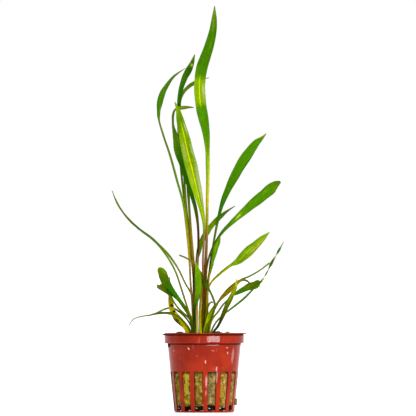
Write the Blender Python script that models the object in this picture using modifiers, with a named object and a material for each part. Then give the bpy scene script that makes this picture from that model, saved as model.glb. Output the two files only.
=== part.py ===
"""A potted cryptocoryne: a slotted net pot, its rockwool plug, and one solid for each leaf.

Lengths below are millimetres and angles are degrees. The origin is the centre of the pot's foot,
+Z is up, -Y is the side that faces the viewer, and meshes are made in metres.
"""
import math
from collections import namedtuple

import bmesh
import bpy
import numpy as np
from mathutils import Matrix, Vector

MM = 0.001
GAP = 0.3

# Net pot
POT_HEIGHT = 50.0
LIP_RADIUS = 26.6
LIP_THICKNESS = 0.9
BAND_RADIUS = 25.1
BAND_BOTTOM = 43.1
NECK_RADIUS = 23.2
FOOT_RADIUS = 18.85
WALL = 0.9
FLOOR = 1.0
RIB_COUNT = 15
RIB_WIDTH = 2.9
FIRST_RIB = 1.5
SLOT_BOTTOM = 1.0
SLOT_TOP = 25.8
DRAIN_COUNT = 10
DRAIN_WIDTH = 2.2
DRAIN_INNER = 6.5
DRAIN_OUTER = 15.0
LACE_HOLE = (2.6, 1.5)
LACE_HOLE_ANGLE = -77.0
LACE_HOLE_HEIGHT = 42.1
POT_SEGMENTS = 60

# What fills the pot
WOOL_BOTTOM = 4.7
WOOL_TOP = 47.6
CROWN_TOP = 49.7
CROWN_CENTRE = (-2.4, 0.1)
CROWN_RADII = (10.9, 7.6)
ROOT_MAT_TOP = 4.4

# Leaves
SIDES = 6
BLADE_THICKNESS = 0.6
TIP_THICKNESS = 0.35
BLADE_STEPS = 2
STALK_STEPS = 1

DARK_GREEN = "#2F6B08"
MID_GREEN = "#4A8C0C"
BRIGHT_GREEN = "#6FA80C"
PALE_GREEN = "#8CB82A"
OLIVE = "#6E7A14"
OCHRE = "#8A7A10"
BROWN = "#5A3A1C"
POT_RED = "#B03A20"
WOOL_TAN = "#A8963C"
MOSS_GREEN = "#2F6B4A"

# A leaf's rows run from its foot on the crown to its tip. Each row is x, y, z, the full width there,
# and how far the blade is turned about its own length. The section is round up to the row before
# blade and flat from the row blade on. fold is how far the edges rise, as a share of half the width.
Leaf = namedtuple("Leaf", "name colour blade fold rows")
LEAVES = (
    Leaf("leaf_tallest", DARK_GREEN, 7, 0.2, (
        (-1.5, 2.1, 50.0, 1.9, 0), (-0.8, 2.4, 59.9, 1.6, 0), (-0.1, 2.7, 70.9, 1.4, 0),
        (0.6, 2.8, 87.9, 1.4, 0), (1.4, 2.6, 107.9, 1.4, 0), (1.8, 2.2, 130.9, 1.6, 0),
        (2.2, 1.6, 153.9, 2.2, 0), (1.9, 1.2, 164.9, 2.9, 5), (1.1, 0.9, 174.9, 4.6, 10),
        (-0.7, 0.5, 184.9, 6.4, 15), (-2.35, 0.3, 194.9, 7.1, 20), (-3.0, 0.3, 204.9, 7.3, 20),
        (-1.9, 0.7, 214.9, 7.1, 20), (0.8, 1.6, 223.9, 6.2, 18), (3.6, 2.6, 232.9, 5.7, 15),
        (5.3, 3.4, 239.9, 4.9, 12), (6.2, 4.0, 247.4, 3.0, 10), (6.4, 4.4, 255.8, 0.5, 10))),
    Leaf("leaf_broad_pale", PALE_GREEN, 7, 0.15, (
        (-2.5, -4.6, 50.0, 1.5, 0), (-2.8, -4.3, 59.9, 1.5, 0), (-2.3, -4.0, 70.9, 1.3, 0),
        (-1.1, -3.8, 82.9, 1.2, 0), (-0.9, -3.7, 95.9, 1.1, 0), (-0.3, -4.0, 109.9, 1.2, 0),
        (-0.2, -4.4, 117.9, 1.5, 0), (-1.7, -5.0, 127.9, 3.3, -8), (-3.5, -5.5, 135.9, 5.3, -12),
        (-5.6, -6.0, 144.4, 7.1, -15), (-8.1, -6.5, 154.9, 8.1, -15), (-10.6, -6.9, 164.4, 7.8, -15),
        (-13.0, -7.2, 174.9, 6.4, -15), (-15.4, -7.3, 184.4, 4.3, -12), (-16.6, -7.3, 190.4, 2.6, -10),
        (-18.7, -7.2, 195.4, 0.5, -10))),
    Leaf("leaf_folded_tip", DARK_GREEN, 6, 0.2, (
        (-4.5, -3.9, 50.0, 1.5, 0), (-4.8, -3.4, 62.9, 1.4, 0), (-4.7, -3.0, 80.9, 1.3, 0),
        (-4.2, -2.6, 95.9, 1.2, 0), (-3.75, -2.3, 106.9, 1.2, 0), (-4.3, -2.0, 119.9, 1.4, -10),
        (-6.4, -1.7, 131.9, 2.2, -20), (-8.9, -1.5, 139.9, 2.9, -30), (-11.3, -1.3, 147.9, 3.8, -36),
        (-13.8, -1.1, 156.9, 5.4, -38), (-16.5, -0.8, 166.4, 6.2, -38), (-18.0, -0.5, 174.9, 5.0, -50),
        (-19.6, -0.2, 181.9, 3.2, -64), (-20.2, 0.0, 186.4, 2.6, -70), (-18.3, 0.3, 190.2, 2.6, -60),
        (-14.2, 0.6, 191.8, 2.4, -45), (-10.2, 0.8, 192.2, 1.5, -35), (-6.6, 1.0, 191.8, 0.5, -30))),
    Leaf("leaf_behind_broad", MID_GREEN, 6, 0.2, (
        (-4.9, -0.6, 50.0, 1.5, 0), (-5.2, -0.4, 65.9, 1.4, 0), (-6.1, 0.2, 84.9, 1.3, 0),
        (-7.7, 1.2, 103.9, 1.3, 0), (-9.1, 2.2, 121.9, 1.3, 0), (-10.0, 3.0, 135.9, 1.5, 0),
        (-10.4, 3.5, 143.9, 2.4, 15), (-11.0, 3.9, 153.9, 4.2, 25), (-11.8, 4.1, 163.9, 5.0, 28),
        (-13.0, 4.1, 173.9, 4.0, 28), (-14.3, 3.9, 183.9, 0.5, 28))),
    Leaf("leaf_upper_back", DARK_GREEN, 8, 0.2, (
        (-5.9, 4.1, 50.0, 1.4, 0), (-6.7, 4.7, 66.9, 1.2, 0), (-7.0, 4.4, 85.9, 1.1, 0),
        (-8.7, 4.9, 101.9, 1.1, 0), (-10.6, 5.9, 119.9, 1.1, 0), (-13.2, 7.0, 137.9, 1.1, 0),
        (-15.2, 7.9, 158.9, 1.2, 0), (-16.4, 8.5, 182.9, 1.4, 0), (-15.9, 8.6, 197.9, 2.2, 30),
        (-14.0, 8.5, 205.4, 4.0, 42), (-12.0, 8.4, 210.4, 5.0, 42), (-9.9, 8.2, 215.1, 4.9, 38),
        (-7.8, 8.0, 219.9, 2.8, 35), (-6.1, 7.8, 225.3, 0.5, 30))),
    Leaf("leaf_arching_back", MID_GREEN, 9, 0.15, (
        (-5.2, 1.5, 50.0, 1.4, 0), (-5.6, 1.4, 68.9, 1.2, 0), (-6.0, 2.0, 86.9, 1.1, 0),
        (-7.9, 3.1, 103.9, 1.1, 0), (-10.3, 4.0, 119.4, 1.1, 0), (-12.1, 5.3, 137.9, 1.1, 0),
        (-13.2, 6.9, 157.9, 1.1, 0), (-14.6, 8.9, 176.9, 1.1, 0), (-15.7, 11.0, 190.9, 1.3, 30),
        (-15.3, 12.1, 197.9, 2.2, 65), (-13.2, 12.9, 202.5, 3.4, 68), (-9.8, 13.2, 205.7, 4.4, 70),
        (-5.5, 13.3, 208.2, 4.2, 72), (-1.0, 13.2, 209.9, 2.6, 76), (3.0, 13.0, 210.5, 0.5, 80))),
    Leaf("leaf_left_curved", MID_GREEN, 10, 0.2, (
        (-7.3, 1.3, 50.0, 1.3, 0), (-7.5, 1.1, 65.9, 1.2, 0), (-8.7, 0.8, 80.9, 1.1, 0),
        (-9.5, 0.4, 97.9, 1.1, 0), (-11.2, -0.3, 115.9, 1.15, 0), (-13.3, -1.2, 131.4, 1.1, 0),
        (-17.5, -2.6, 146.9, 1.2, 0), (-21.8, -3.9, 162.4, 1.15, 0), (-26.0, -5.0, 174.9, 1.0, 0),
        (-28.4, -5.7, 184.4, 1.1, 15), (-28.8, -6.0, 189.9, 2.6, 35), (-28.2, -6.1, 194.9, 4.0, 38),
        (-26.4, -6.0, 200.2, 3.8, 40), (-23.4, -5.7, 205.4, 3.0, 45), (-19.8, -5.3, 210.3, 2.2, 45),
        (-15.7, -4.9, 214.1, 1.2, 40), (-11.7, -4.5, 216.6, 0.5, 40))),
    Leaf("leaf_short_front", BRIGHT_GREEN, 3, 0.15, (
        (-5.9, -5.8, 50.0, 1.2, 0), (-6.3, -6.4, 58.9, 1.0, 0), (-6.1, -7.2, 65.4, 1.1, 0),
        (-5.0, -7.8, 69.9, 2.4, 10), (-4.1, -8.2, 74.9, 3.8, 15), (-3.9, -8.5, 79.9, 4.2, 18),
        (-4.0, -8.8, 84.9, 4.2, 18), (-4.4, -9.0, 89.4, 3.3, 15), (-5.4, -9.2, 94.3, 0.5, 12))),
    Leaf("leaf_bent_back", DARK_GREEN, 6, 0.15, (
        (0.9, -5.0, 50.0, 1.1, 0), (2.9, -5.2, 56.1, 1.0, 0), (4.8, -5.4, 60.2, 1.0, 0),
        (6.1, -5.6, 64.1, 1.0, 0), (6.4, -5.7, 68.1, 1.0, 0), (5.4, -5.9, 72.1, 0.9, 0),
        (3.4, -6.1, 76.3, 1.1, 20), (1.6, -6.3, 79.4, 2.4, 32), (-0.1, -6.5, 82.5, 2.9, 34),
        (-1.8, -6.6, 86.3, 2.3, 34), (-3.5, -6.7, 90.5, 0.5, 34))),
    Leaf("leaf_short_striped", BRIGHT_GREEN, 1, 0.15, (
        (-0.4, -3.4, 50.0, 1.3, 0), (1.1, -3.4, 54.9, 2.2, 20), (2.8, -3.4, 58.9, 3.3, 25),
        (4.4, -3.4, 62.7, 3.1, 25), (5.6, -3.4, 65.7, 1.8, 25), (6.4, -3.4, 67.8, 0.5, 25))),
    Leaf("stalk_hooked", OLIVE, 7, 0.0, (
        (-0.3, -1.8, 50.0, 0.7, 0), (0.6, -2.1, 57.9, 0.6, 0), (1.3, -2.3, 63.9, 0.6, 0),
        (2.3, -2.4, 66.5, 0.6, 0), (3.4, -2.5, 68.7, 0.6, 0), (4.5, -2.5, 69.5, 0.6, 0),
        (5.4, -2.5, 69.1, 0.5, 0))),
    Leaf("leaf_ochre_hooked", OCHRE, 5, 0.15, (
        (2.1, -0.6, 50.0, 1.0, 0), (2.7, -0.3, 55.9, 0.9, 0), (4.3, 0.0, 60.1, 0.9, 0),
        (6.8, 0.5, 66.5, 0.9, 0), (9.4, 1.0, 71.5, 1.3, 15), (11.6, 1.3, 74.4, 2.9, 30),
        (14.0, 1.6, 77.0, 3.8, 35), (16.5, 1.8, 79.1, 3.5, 36), (19.0, 2.0, 80.9, 2.4, 36),
        (21.8, 2.1, 82.8, 1.6, 36), (24.4, 2.0, 83.7, 1.2, 30), (27.0, 1.8, 82.5, 1.0, 20),
        (29.0, 1.6, 80.3, 0.5, 20))),
    Leaf("leaf_spear_right", BRIGHT_GREEN, 8, 0.2, (
        (0.5, -0.5, 50.0, 1.1, 0), (1.2, -0.6, 59.9, 1.0, 0), (1.6, -0.9, 69.9, 0.95, 0),
        (2.2, -1.4, 76.9, 0.9, 0), (4.2, -2.2, 81.7, 0.9, 0), (8.0, -3.4, 85.9, 1.0, 0),
        (13.2, -5.0, 90.4, 1.3, 0), (18.0, -6.5, 93.5, 1.6, -5), (21.0, -7.5, 95.6, 3.6, -15),
        (24.6, -8.6, 98.6, 5.8, -20), (28.4, -9.7, 101.6, 6.5, -22), (32.4, -10.8, 105.2, 5.4, -22),
        (36.6, -11.8, 109.4, 3.7, -20), (40.9, -12.6, 113.4, 0.5, -18))),
    Leaf("leaf_olive_front", OLIVE, 3, 0.2, (
        (5.6, -4.6, 50.0, 1.0, 0), (8.2, -5.0, 54.2, 0.9, 0), (10.0, -5.5, 58.0, 1.1, 0),
        (12.0, -6.2, 63.0, 2.2, 20), (13.4, -6.8, 67.2, 2.9, 28), (15.2, -7.4, 71.4, 3.0, 32),
        (17.1, -8.0, 75.2, 2.7, 34), (19.0, -8.6, 79.5, 2.1, 34), (20.1, -9.0, 84.2, 0.5, 30))),
    Leaf("leaf_blunt_right", MID_GREEN, 7, 0.15, (
        (3.2, -2.0, 50.0, 1.1, 0), (4.0, -1.6, 56.1, 0.9, 0), (5.6, -1.2, 59.6, 0.85, 0),
        (8.4, -0.4, 63.5, 0.85, 0), (12.0, 0.6, 68.1, 0.9, 0), (15.4, 1.6, 71.3, 0.9, 0),
        (18.6, 2.6, 74.0, 1.1, 5), (21.2, 3.3, 76.0, 2.3, 15), (24.8, 4.2, 77.8, 3.5, 20),
        (28.2, 4.9, 79.3, 4.1, 22), (31.5, 5.4, 80.5, 4.4, 22), (34.2, 5.8, 81.1, 4.4, 22),
        (35.3, 5.9, 81.0, 3.2, 22))),
    Leaf("leaf_twisted_thin", OLIVE, 5, 0.0, (
        (4.4, -0.2, 50.0, 0.9, 0), (7.2, 0.2, 56.5, 0.8, 0), (12.6, 0.7, 62.0, 0.8, 0),
        (18.5, 1.2, 67.0, 0.9, 0), (25.0, 1.6, 72.0, 1.0, 0), (30.6, 1.8, 77.5, 1.1, 10),
        (36.8, 1.4, 84.1, 1.1, 30), (39.4, 1.0, 89.0, 1.1, 60), (42.2, 0.4, 94.9, 1.0, 30),
        (45.0, -0.4, 99.7, 0.9, 10), (49.8, -1.4, 107.2, 0.5, 0))),
    Leaf("leaf_thread_right", OLIVE, 8, 0.0, (
        (2.5, 2.6, 50.0, 0.9, 0), (4.6, 3.0, 60.4, 0.7, 0), (8.6, 4.0, 69.7, 0.6, 0),
        (14.5, 5.2, 77.4, 0.6, 0), (21.8, 6.4, 83.2, 0.6, 0), (28.0, 7.2, 86.0, 0.6, 0),
        (35.0, 8.0, 90.0, 0.6, 0), (41.0, 8.8, 94.0, 0.5, 0))),
    Leaf("leaf_upper_right", MID_GREEN, 7, 0.2, (
        (0.9, 2.9, 50.0, 1.2, 0), (1.4, 2.9, 68.9, 1.1, 0), (2.5, 3.2, 83.9, 1.0, 0),
        (4.1, 3.9, 95.9, 1.0, 0), (6.0, 4.9, 107.9, 1.1, 0), (8.4, 5.9, 120.4, 1.4, 0),
        (11.0, 6.8, 130.7, 2.2, 10), (15.0, 7.7, 140.1, 4.0, 20), (19.8, 8.6, 149.9, 5.8, 25),
        (25.2, 9.4, 159.9, 6.6, 26), (29.0, 9.9, 165.4, 6.0, 25), (32.6, 10.3, 169.9, 4.1, 22),
        (35.8, 10.6, 173.1, 1.7, 15), (38.9, 10.8, 175.4, 0.5, 10))),
    Leaf("leaf_behind_stalks", BRIGHT_GREEN, 5, 0.2, (
        (-4.2, 4.9, 50.0, 1.4, 0), (-5.0, 5.2, 64.9, 1.2, 0), (-5.3, 5.7, 80.9, 1.1, 0),
        (-5.1, 6.5, 93.9, 1.1, 0), (-3.9, 7.3, 99.9, 1.8, -15), (-1.7, 8.2, 107.1, 3.8, -32),
        (1.4, 9.0, 112.7, 4.4, -35), (5.0, 9.8, 117.7, 4.1, -35), (9.0, 10.5, 122.3, 3.1, -35),
        (13.5, 11.1, 125.9, 1.7, -32), (19.3, 11.6, 129.9, 0.5, -30))),
    Leaf("leaf_broad_right", DARK_GREEN, 8, 0.2, (
        (0.3, 1.2, 50.0, 1.1, 0), (0.7, 1.2, 65.9, 1.0, 0), (1.1, 0.9, 79.9, 1.0, 0),
        (1.8, 0.8, 92.9, 1.0, 0), (4.0, 0.5, 100.9, 1.0, 0), (7.6, 0.1, 108.2, 1.1, 0),
        (12.0, -0.5, 114.3, 1.7, 0), (16.5, -1.1, 119.4, 2.3, 10), (21.5, -1.7, 124.4, 3.2, 15),
        (26.5, -2.3, 129.7, 5.2, 20), (32.0, -2.9, 134.1, 6.9, 22), (37.0, -3.3, 138.1, 7.3, 22),
        (41.5, -3.7, 140.9, 6.5, 20), (45.2, -4.0, 142.9, 4.4, 15), (48.1, -4.2, 144.8, 1.4, 10))),
    Leaf("leaf_beside_stalks", BRIGHT_GREEN, 5, 0.2, (
        (1.9, 1.0, 50.0, 1.1, 0), (2.0, 0.6, 65.9, 1.0, 0), (2.3, 0.1, 78.9, 0.9, 0),
        (3.2, -0.6, 86.1, 0.9, 0), (4.3, -1.2, 90.4, 1.3, 0), (5.4, -1.9, 95.1, 2.2, 25),
        (6.4, -2.6, 100.2, 3.3, 30), (7.4, -3.2, 104.2, 3.7, 30), (8.7, -3.7, 107.6, 2.9, 30),
        (10.0, -4.1, 110.6, 0.5, 30))),
    Leaf("leaf_long_left", MID_GREEN, 7, 0.15, (
        (-7.3, 2.9, 50.0, 1.0, 0), (-7.4, 3.2, 64.9, 0.9, 0), (-8.3, 4.2, 74.4, 0.8, 0),
        (-11.5, 5.2, 81.4, 0.8, 0), (-16.0, 6.4, 89.7, 0.85, 0), (-21.0, 7.6, 97.7, 0.9, 30),
        (-26.5, 8.8, 104.3, 1.9, 68), (-33.0, 10.0, 109.6, 3.6, 74), (-39.5, 11.0, 114.3, 4.2, 75),
        (-45.5, 11.8, 119.3, 3.4, 74), (-51.0, 12.4, 125.3, 2.4, 72), (-55.8, 12.8, 133.3, 1.4, 66),
        (-58.2, 13.0, 139.5, 0.5, 60))),
    Leaf("leaf_long_left_lower", OLIVE, 7, 0.15, (
        (-6.7, -0.3, 50.0, 1.1, 0), (-7.4, -0.5, 56.9, 0.95, 0), (-9.0, -0.8, 62.4, 0.95, 0),
        (-11.6, -1.3, 69.8, 0.95, 0), (-14.6, -1.9, 78.9, 0.95, 0), (-18.4, -2.6, 89.1, 1.0, 0),
        (-23.0, -3.2, 97.8, 1.0, 30), (-28.5, -3.7, 105.3, 2.0, 66), (-34.5, -4.0, 110.6, 2.8, 72),
        (-38.8, -4.2, 113.9, 2.0, 72), (-42.0, -4.3, 116.3, 0.5, 70))),
    Leaf("leaf_blunt_left", DARK_GREEN, 4, 0.2, (
        (-6.9, -3.6, 50.0, 1.2, 0), (-7.6, -3.9, 55.4, 1.2, 0), (-9.6, -4.6, 60.9, 1.4, 0),
        (-12.5, -5.6, 66.0, 1.9, 0), (-16.3, -7.0, 71.3, 2.7, 10), (-20.4, -8.3, 76.1, 4.0, 20),
        (-23.6, -9.3, 80.6, 5.3, 24), (-25.8, -10.1, 84.7, 5.8, 26), (-27.2, -10.7, 88.2, 5.6, 26),
        (-27.9, -11.1, 90.3, 4.6, 26), (-28.3, -11.3, 91.6, 2.6, 26))),
    Leaf("leaf_notched_left", OLIVE, 6, 0.15, (
        (-7.0, -1.9, 50.0, 1.1, 0), (-7.5, -2.0, 54.4, 1.0, 0), (-9.3, -2.3, 58.7, 0.9, 0),
        (-13.2, -2.9, 62.6, 0.9, 0), (-17.0, -3.5, 66.3, 0.9, 0), (-20.0, -4.1, 70.9, 1.0, 0),
        (-22.4, -4.7, 74.9, 2.6, 25), (-25.4, -5.3, 77.9, 3.6, 32), (-28.0, -5.8, 79.3, 3.7, 32),
        (-29.9, -6.1, 79.8, 2.4, 30))),
    Leaf("leaf_yellow_dying", "#A8A010", 1, 0.15, (
        (-10.2, 0.4, 50.0, 2.8, 0), (-12.0, 0.5, 54.5, 3.3, 10), (-15.0, 0.7, 58.0, 3.2, 15),
        (-18.0, 0.9, 61.0, 3.0, 15), (-20.3, 1.1, 64.7, 2.8, 20), (-21.2, 1.3, 70.0, 2.6, 25),
        (-21.8, 1.5, 76.0, 1.9, 30), (-21.9, 1.7, 85.3, 0.5, 30))),
    Leaf("leaf_drooping_left", DARK_GREEN, 5, 0.15, (
        (-8.5, -2.8, 50.0, 1.0, 0), (-10.2, -3.2, 53.8, 0.9, 0), (-13.0, -3.7, 57.0, 0.9, 0),
        (-16.2, -4.3, 60.2, 0.9, 0), (-19.2, -4.8, 61.9, 1.0, 20), (-24.0, -5.4, 62.7, 3.2, 68),
        (-29.0, -6.0, 62.5, 3.6, 72), (-34.6, -6.5, 61.2, 2.4, 72), (-40.0, -6.9, 60.6, 2.0, 70),
        (-44.4, -7.2, 58.8, 1.4, 66), (-47.8, -7.4, 54.3, 0.5, 60))),
    Leaf("leaf_thin_arch", OLIVE, 7, 0.0, (
        (-7.5, 4.9, 50.0, 0.9, 0), (-8.8, 5.0, 55.1, 0.9, 0), (-12.4, 5.1, 60.2, 0.85, 0),
        (-16.3, 5.3, 64.1, 0.8, 0), (-20.2, 5.4, 65.8, 0.7, 0), (-25.0, 5.5, 65.2, 0.6, 0),
        (-30.0, 5.6, 62.9, 0.5, 0))),
    Leaf("stalk_dead", BROWN, 8, 0.0, (
        (-5.6, -2.3, 50.0, 0.8, 0), (-6.2, -2.7, 63.9, 0.7, 0), (-6.8, -3.2, 76.9, 0.7, 0),
        (-7.0, -3.6, 83.9, 0.7, 0), (-6.5, -4.0, 90.9, 0.65, 0), (-7.6, -4.2, 94.4, 0.6, 0),
        (-11.0, -4.4, 96.9, 0.55, 0), (-15.8, -4.5, 99.0, 0.5, 0))),
)

# A low pad of moss on the wool: name, centre x and y, radii along x and y, and top
MOSS_PADS = (
    ("moss_left", (-15.4, 9.0), (4.1, 6.5), 51.0),
    ("moss_right", (8.4, 11.0), (3.4, 5.0), 51.5),
    ("moss_edge_right", (14.4, 3.5), (2.6, 5.5), 51.0),
)


def clear_scene():
    """Remove the scene's objects and the file's empty collections."""
    for item in list(bpy.data.objects):
        bpy.data.objects.remove(item, do_unlink=True)
    for group in list(bpy.data.collections):
        bpy.data.collections.remove(group)


def new_collection(name):
    group = bpy.data.collections.new(name)
    bpy.context.scene.collection.children.link(group)
    return group


def linear(code):
    """A linear colour from a hex code such as #2F6B08."""
    parts = [int(code[i:i + 2], 16) / 255.0 for i in (1, 3, 5)]
    return [p / 12.92 if p <= 0.04045 else ((p + 0.055) / 1.055) ** 2.4 for p in parts] + [1.0]


def new_material(name, colour, roughness):
    material = bpy.data.materials.new(name)
    material.use_nodes = True
    shader = material.node_tree.nodes["Principled BSDF"]
    shader.inputs["Base Color"].default_value = linear(colour)
    shader.inputs["Roughness"].default_value = roughness
    shader.inputs["Metallic"].default_value = 0.0
    material.diffuse_color = linear(colour)
    return material


def add_object(name, mesh, group, colour, roughness):
    """Link a mesh as a named object of the model, with a material of its own."""
    obj = bpy.data.objects.new(name, mesh)
    group.objects.link(obj)
    mesh.materials.append(new_material(name, colour, roughness))
    return obj


def turned(name, profile, segments, group, colour, roughness):
    """Turn an open profile of radius and height, which starts and ends on the axis."""
    mesh = bpy.data.meshes.new(name)
    points = [(radius * MM, 0.0, height * MM) for radius, height in profile]
    mesh.from_pydata(points, [(i, i + 1) for i in range(len(points) - 1)], [])
    obj = add_object(name, mesh, group, colour, roughness)
    screw = obj.modifiers.new("turn", "SCREW")
    screw.steps = segments
    screw.render_steps = segments
    screw.use_merge_vertices = True
    screw.merge_threshold = 0.00001
    screw.use_smooth_shade = True
    return obj


def wall_radius(height):
    """Outer radius of the pot's cone at a height below the band."""
    return FOOT_RADIUS + (NECK_RADIUS - FOOT_RADIUS) * height / BAND_BOTTOM


def pot_profile():
    """From the middle of the floor up the inside, over the lip and down to the middle of the foot."""
    inner_band = BAND_RADIUS - WALL
    outer = [(LIP_RADIUS, POT_HEIGHT - 0.2), (LIP_RADIUS, POT_HEIGHT - 0.5),
             (BAND_RADIUS, POT_HEIGHT - LIP_THICKNESS), (BAND_RADIUS, BAND_BOTTOM + 0.2),
             (BAND_RADIUS - 0.2, BAND_BOTTOM), (NECK_RADIUS, BAND_BOTTOM),
             (wall_radius(SLOT_TOP + 1.0), SLOT_TOP + 1.0), (FOOT_RADIUS, 0.0), (0.0, 0.0)]
    inner = [(0.0, FLOOR), (wall_radius(FLOOR) - WALL, FLOOR),
             (wall_radius(BAND_BOTTOM) - WALL, BAND_BOTTOM), (inner_band, BAND_BOTTOM + WALL),
             (inner_band, POT_HEIGHT - 0.3), (inner_band + 0.3, POT_HEIGHT), (LIP_RADIUS - 0.3, POT_HEIGHT)]
    return inner + outer


def radial_box(mesh, angle, radius, height, widths, depth, rise):
    """Add a box that looks outward at an angle, with its width at the bottom and at the top."""
    made = bmesh.ops.create_cube(mesh, size=1.0)
    for vertex in made["verts"]:
        vertex.co.x *= (widths[1] if vertex.co.z > 0 else widths[0]) * MM
        vertex.co.y *= depth * MM
        vertex.co.z *= rise * MM
    turn = Matrix.Rotation(math.radians(angle), 4, "Z")
    place = Matrix.Translation(Vector((0.0, -radius, height)) * MM)
    bmesh.ops.transform(mesh, matrix=turn @ place, verts=made["verts"])


def slot_cutters(group):
    """The side slots, the drains in the floor and the lace hole, as one cutter."""
    cut = bmesh.new()
    pitch = 360.0 / RIB_COUNT
    middle = (SLOT_TOP + SLOT_BOTTOM) / 2.0
    widths = [2.0 * wall_radius(z) * math.sin(math.radians(pitch / 2.0)) - RIB_WIDTH
              for z in (SLOT_BOTTOM, SLOT_TOP)]
    for i in range(RIB_COUNT):
        angle = FIRST_RIB + (i + 0.5) * pitch
        radial_box(cut, angle, wall_radius(middle), middle, widths, 6.0, SLOT_TOP - SLOT_BOTTOM)
    for i in range(DRAIN_COUNT):
        radial_box(cut, (i + 0.5) * 360.0 / DRAIN_COUNT, (DRAIN_INNER + DRAIN_OUTER) / 2.0, FLOOR / 2.0,
                   (DRAIN_WIDTH, DRAIN_WIDTH), DRAIN_OUTER - DRAIN_INNER, 4.0 * FLOOR)
    radial_box(cut, LACE_HOLE_ANGLE, wall_radius(LACE_HOLE_HEIGHT), LACE_HOLE_HEIGHT,
               (LACE_HOLE[0], LACE_HOLE[0]), 4.0, LACE_HOLE[1])
    mesh = bpy.data.meshes.new("slot_cutters")
    cut.to_mesh(mesh)
    cut.free()
    cutter = bpy.data.objects.new("slot_cutters", mesh)
    cutter.hide_render = True
    cutter.display_type = "WIRE"
    group.objects.link(cutter)
    return cutter


def make_pot(group, cutters):
    pot = turned("net_pot", pot_profile(), POT_SEGMENTS, group, POT_RED, 0.3)
    cut = pot.modifiers.new("slots", "BOOLEAN")
    cut.operation = "DIFFERENCE"
    cut.solver = "EXACT"
    cut.object = slot_cutters(cutters)


def make_rockwool(group):
    """A tapered plug that stays clear of the wall, with a rounded rim."""
    clear = WALL + GAP + 0.15
    profile = [(0.0, WOOL_TOP), (20.6, WOOL_TOP), (21.9, WOOL_TOP - 0.9),
               (wall_radius(BAND_BOTTOM) - clear, BAND_BOTTOM - 1.0),
               (wall_radius(WOOL_BOTTOM) - clear, WOOL_BOTTOM + 0.7),
               (wall_radius(WOOL_BOTTOM) - clear - 0.8, WOOL_BOTTOM), (0.0, WOOL_BOTTOM)]
    turned("rockwool", profile, 36, group, WOOL_TAN, 0.95)


def dome(name, centre, radii, bottom, top, shoulder, group, colour):
    """A low round pad of oval plan, with its shoulder as a share of its radius."""
    rise = top - bottom
    profile = [(0.0, top), (shoulder, top), (0.5 + 0.5 * shoulder, top - 0.25 * rise),
               (1.0, top - 0.65 * rise), (1.0, bottom), (0.0, bottom)]
    pad = turned(name, profile, 20, group, colour, 0.9)
    for vertex in pad.data.vertices:
        vertex.co.x /= MM
    pad.location = (centre[0] * MM, centre[1] * MM, 0.0)
    pad.scale = (radii[0] * MM, radii[1] * MM, 1.0)
    return pad


def make_root_mat(group):
    """The wet roots that fill the gap under the plug."""
    radius = wall_radius(FLOOR) - WALL - GAP - 0.2
    profile = [(0.0, ROOT_MAT_TOP), (radius - 1.2, ROOT_MAT_TOP), (radius, ROOT_MAT_TOP - 1.0),
               (radius, FLOOR + GAP + 0.6), (radius - 0.8, FLOOR + GAP), (0.0, FLOOR + GAP)]
    turned("root_mat", profile, 30, group, "#2A2018", 0.7)


def make_root_tuft(group):
    """Fibres that bulge out of one slot, low on the right."""
    ball = bmesh.new()
    bmesh.ops.create_icosphere(ball, subdivisions=2, radius=1.0)
    mesh = bpy.data.meshes.new("root_tuft")
    ball.to_mesh(mesh)
    ball.free()
    mesh.shade_smooth()
    tuft = add_object("root_tuft", mesh, group, "#8A6A3A", 0.9)
    angle = math.radians(FIRST_RIB + 3.5 * 360.0 / RIB_COUNT)
    radius = 19.75
    tuft.location = Vector((radius * math.sin(angle), -radius * math.cos(angle), 6.7)) * MM
    tuft.rotation_euler.z = angle
    tuft.scale = Vector((1.75, 1.05, 2.2)) * MM


def row_knots(rows):
    """Distance along the leaf of each row."""
    spans = np.linalg.norm(np.diff(rows[:, :3], axis=0), axis=1)
    return np.concatenate(([0.0], np.cumsum(spans)))


def smooth_row(rows, knots, slopes, i, t):
    """The row a share t of the way from row i to the next, on a cubic through all rows."""
    span = knots[i + 1] - knots[i]
    back = 1.0 - t
    start = rows[i] * (1.0 + 2.0 * t) * back ** 2 + slopes[i] * span * t * back ** 2
    end = rows[i + 1] * t ** 2 * (3.0 - 2.0 * t) - slopes[i + 1] * span * t ** 2 * back
    return start + end


def leaf_stations(leaf):
    """Rows along the leaf, closer together in the blade, each with its flatness from 0 to 1."""
    rows = np.array(leaf.rows, dtype=float)
    knots = row_knots(rows)
    slopes = np.gradient(rows, knots, axis=0)
    stations = []
    for i in range(len(rows) - 1):
        steps = BLADE_STEPS if i >= leaf.blade - 1 else STALK_STEPS
        for k in range(steps):
            flat = min(max(i + k / steps - leaf.blade + 1.0, 0.0), 1.0)
            stations.append((smooth_row(rows, knots, slopes, i, k / steps), flat))
    stations.append((rows[-1], 1.0))
    return stations


def leaf_section(row, tangent, flat, fold, tip):
    """The ring of points of a section: a hexagon that is round on a stalk and a lens on a blade."""
    across = Vector((0.0, 1.0, 0.0)).cross(tangent).normalized()
    across.rotate(Matrix.Rotation(math.radians(row[4]), 3, tangent))
    facing = across.cross(tangent).normalized()
    half_width = row[3] / 2.0
    thin = min(half_width, (TIP_THICKNESS if tip else BLADE_THICKNESS) / 2.0)
    half_thick = half_width + (thin - half_width) * flat
    ring = []
    for k in range(SIDES):
        angle = 2.0 * math.pi * k / SIDES
        along = half_width * math.cos(angle)
        rise = half_thick * math.sin(angle) + flat * fold * abs(along)
        ring.append((Vector(row[:3]) + across * along + facing * rise) * MM)
    return ring


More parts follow.
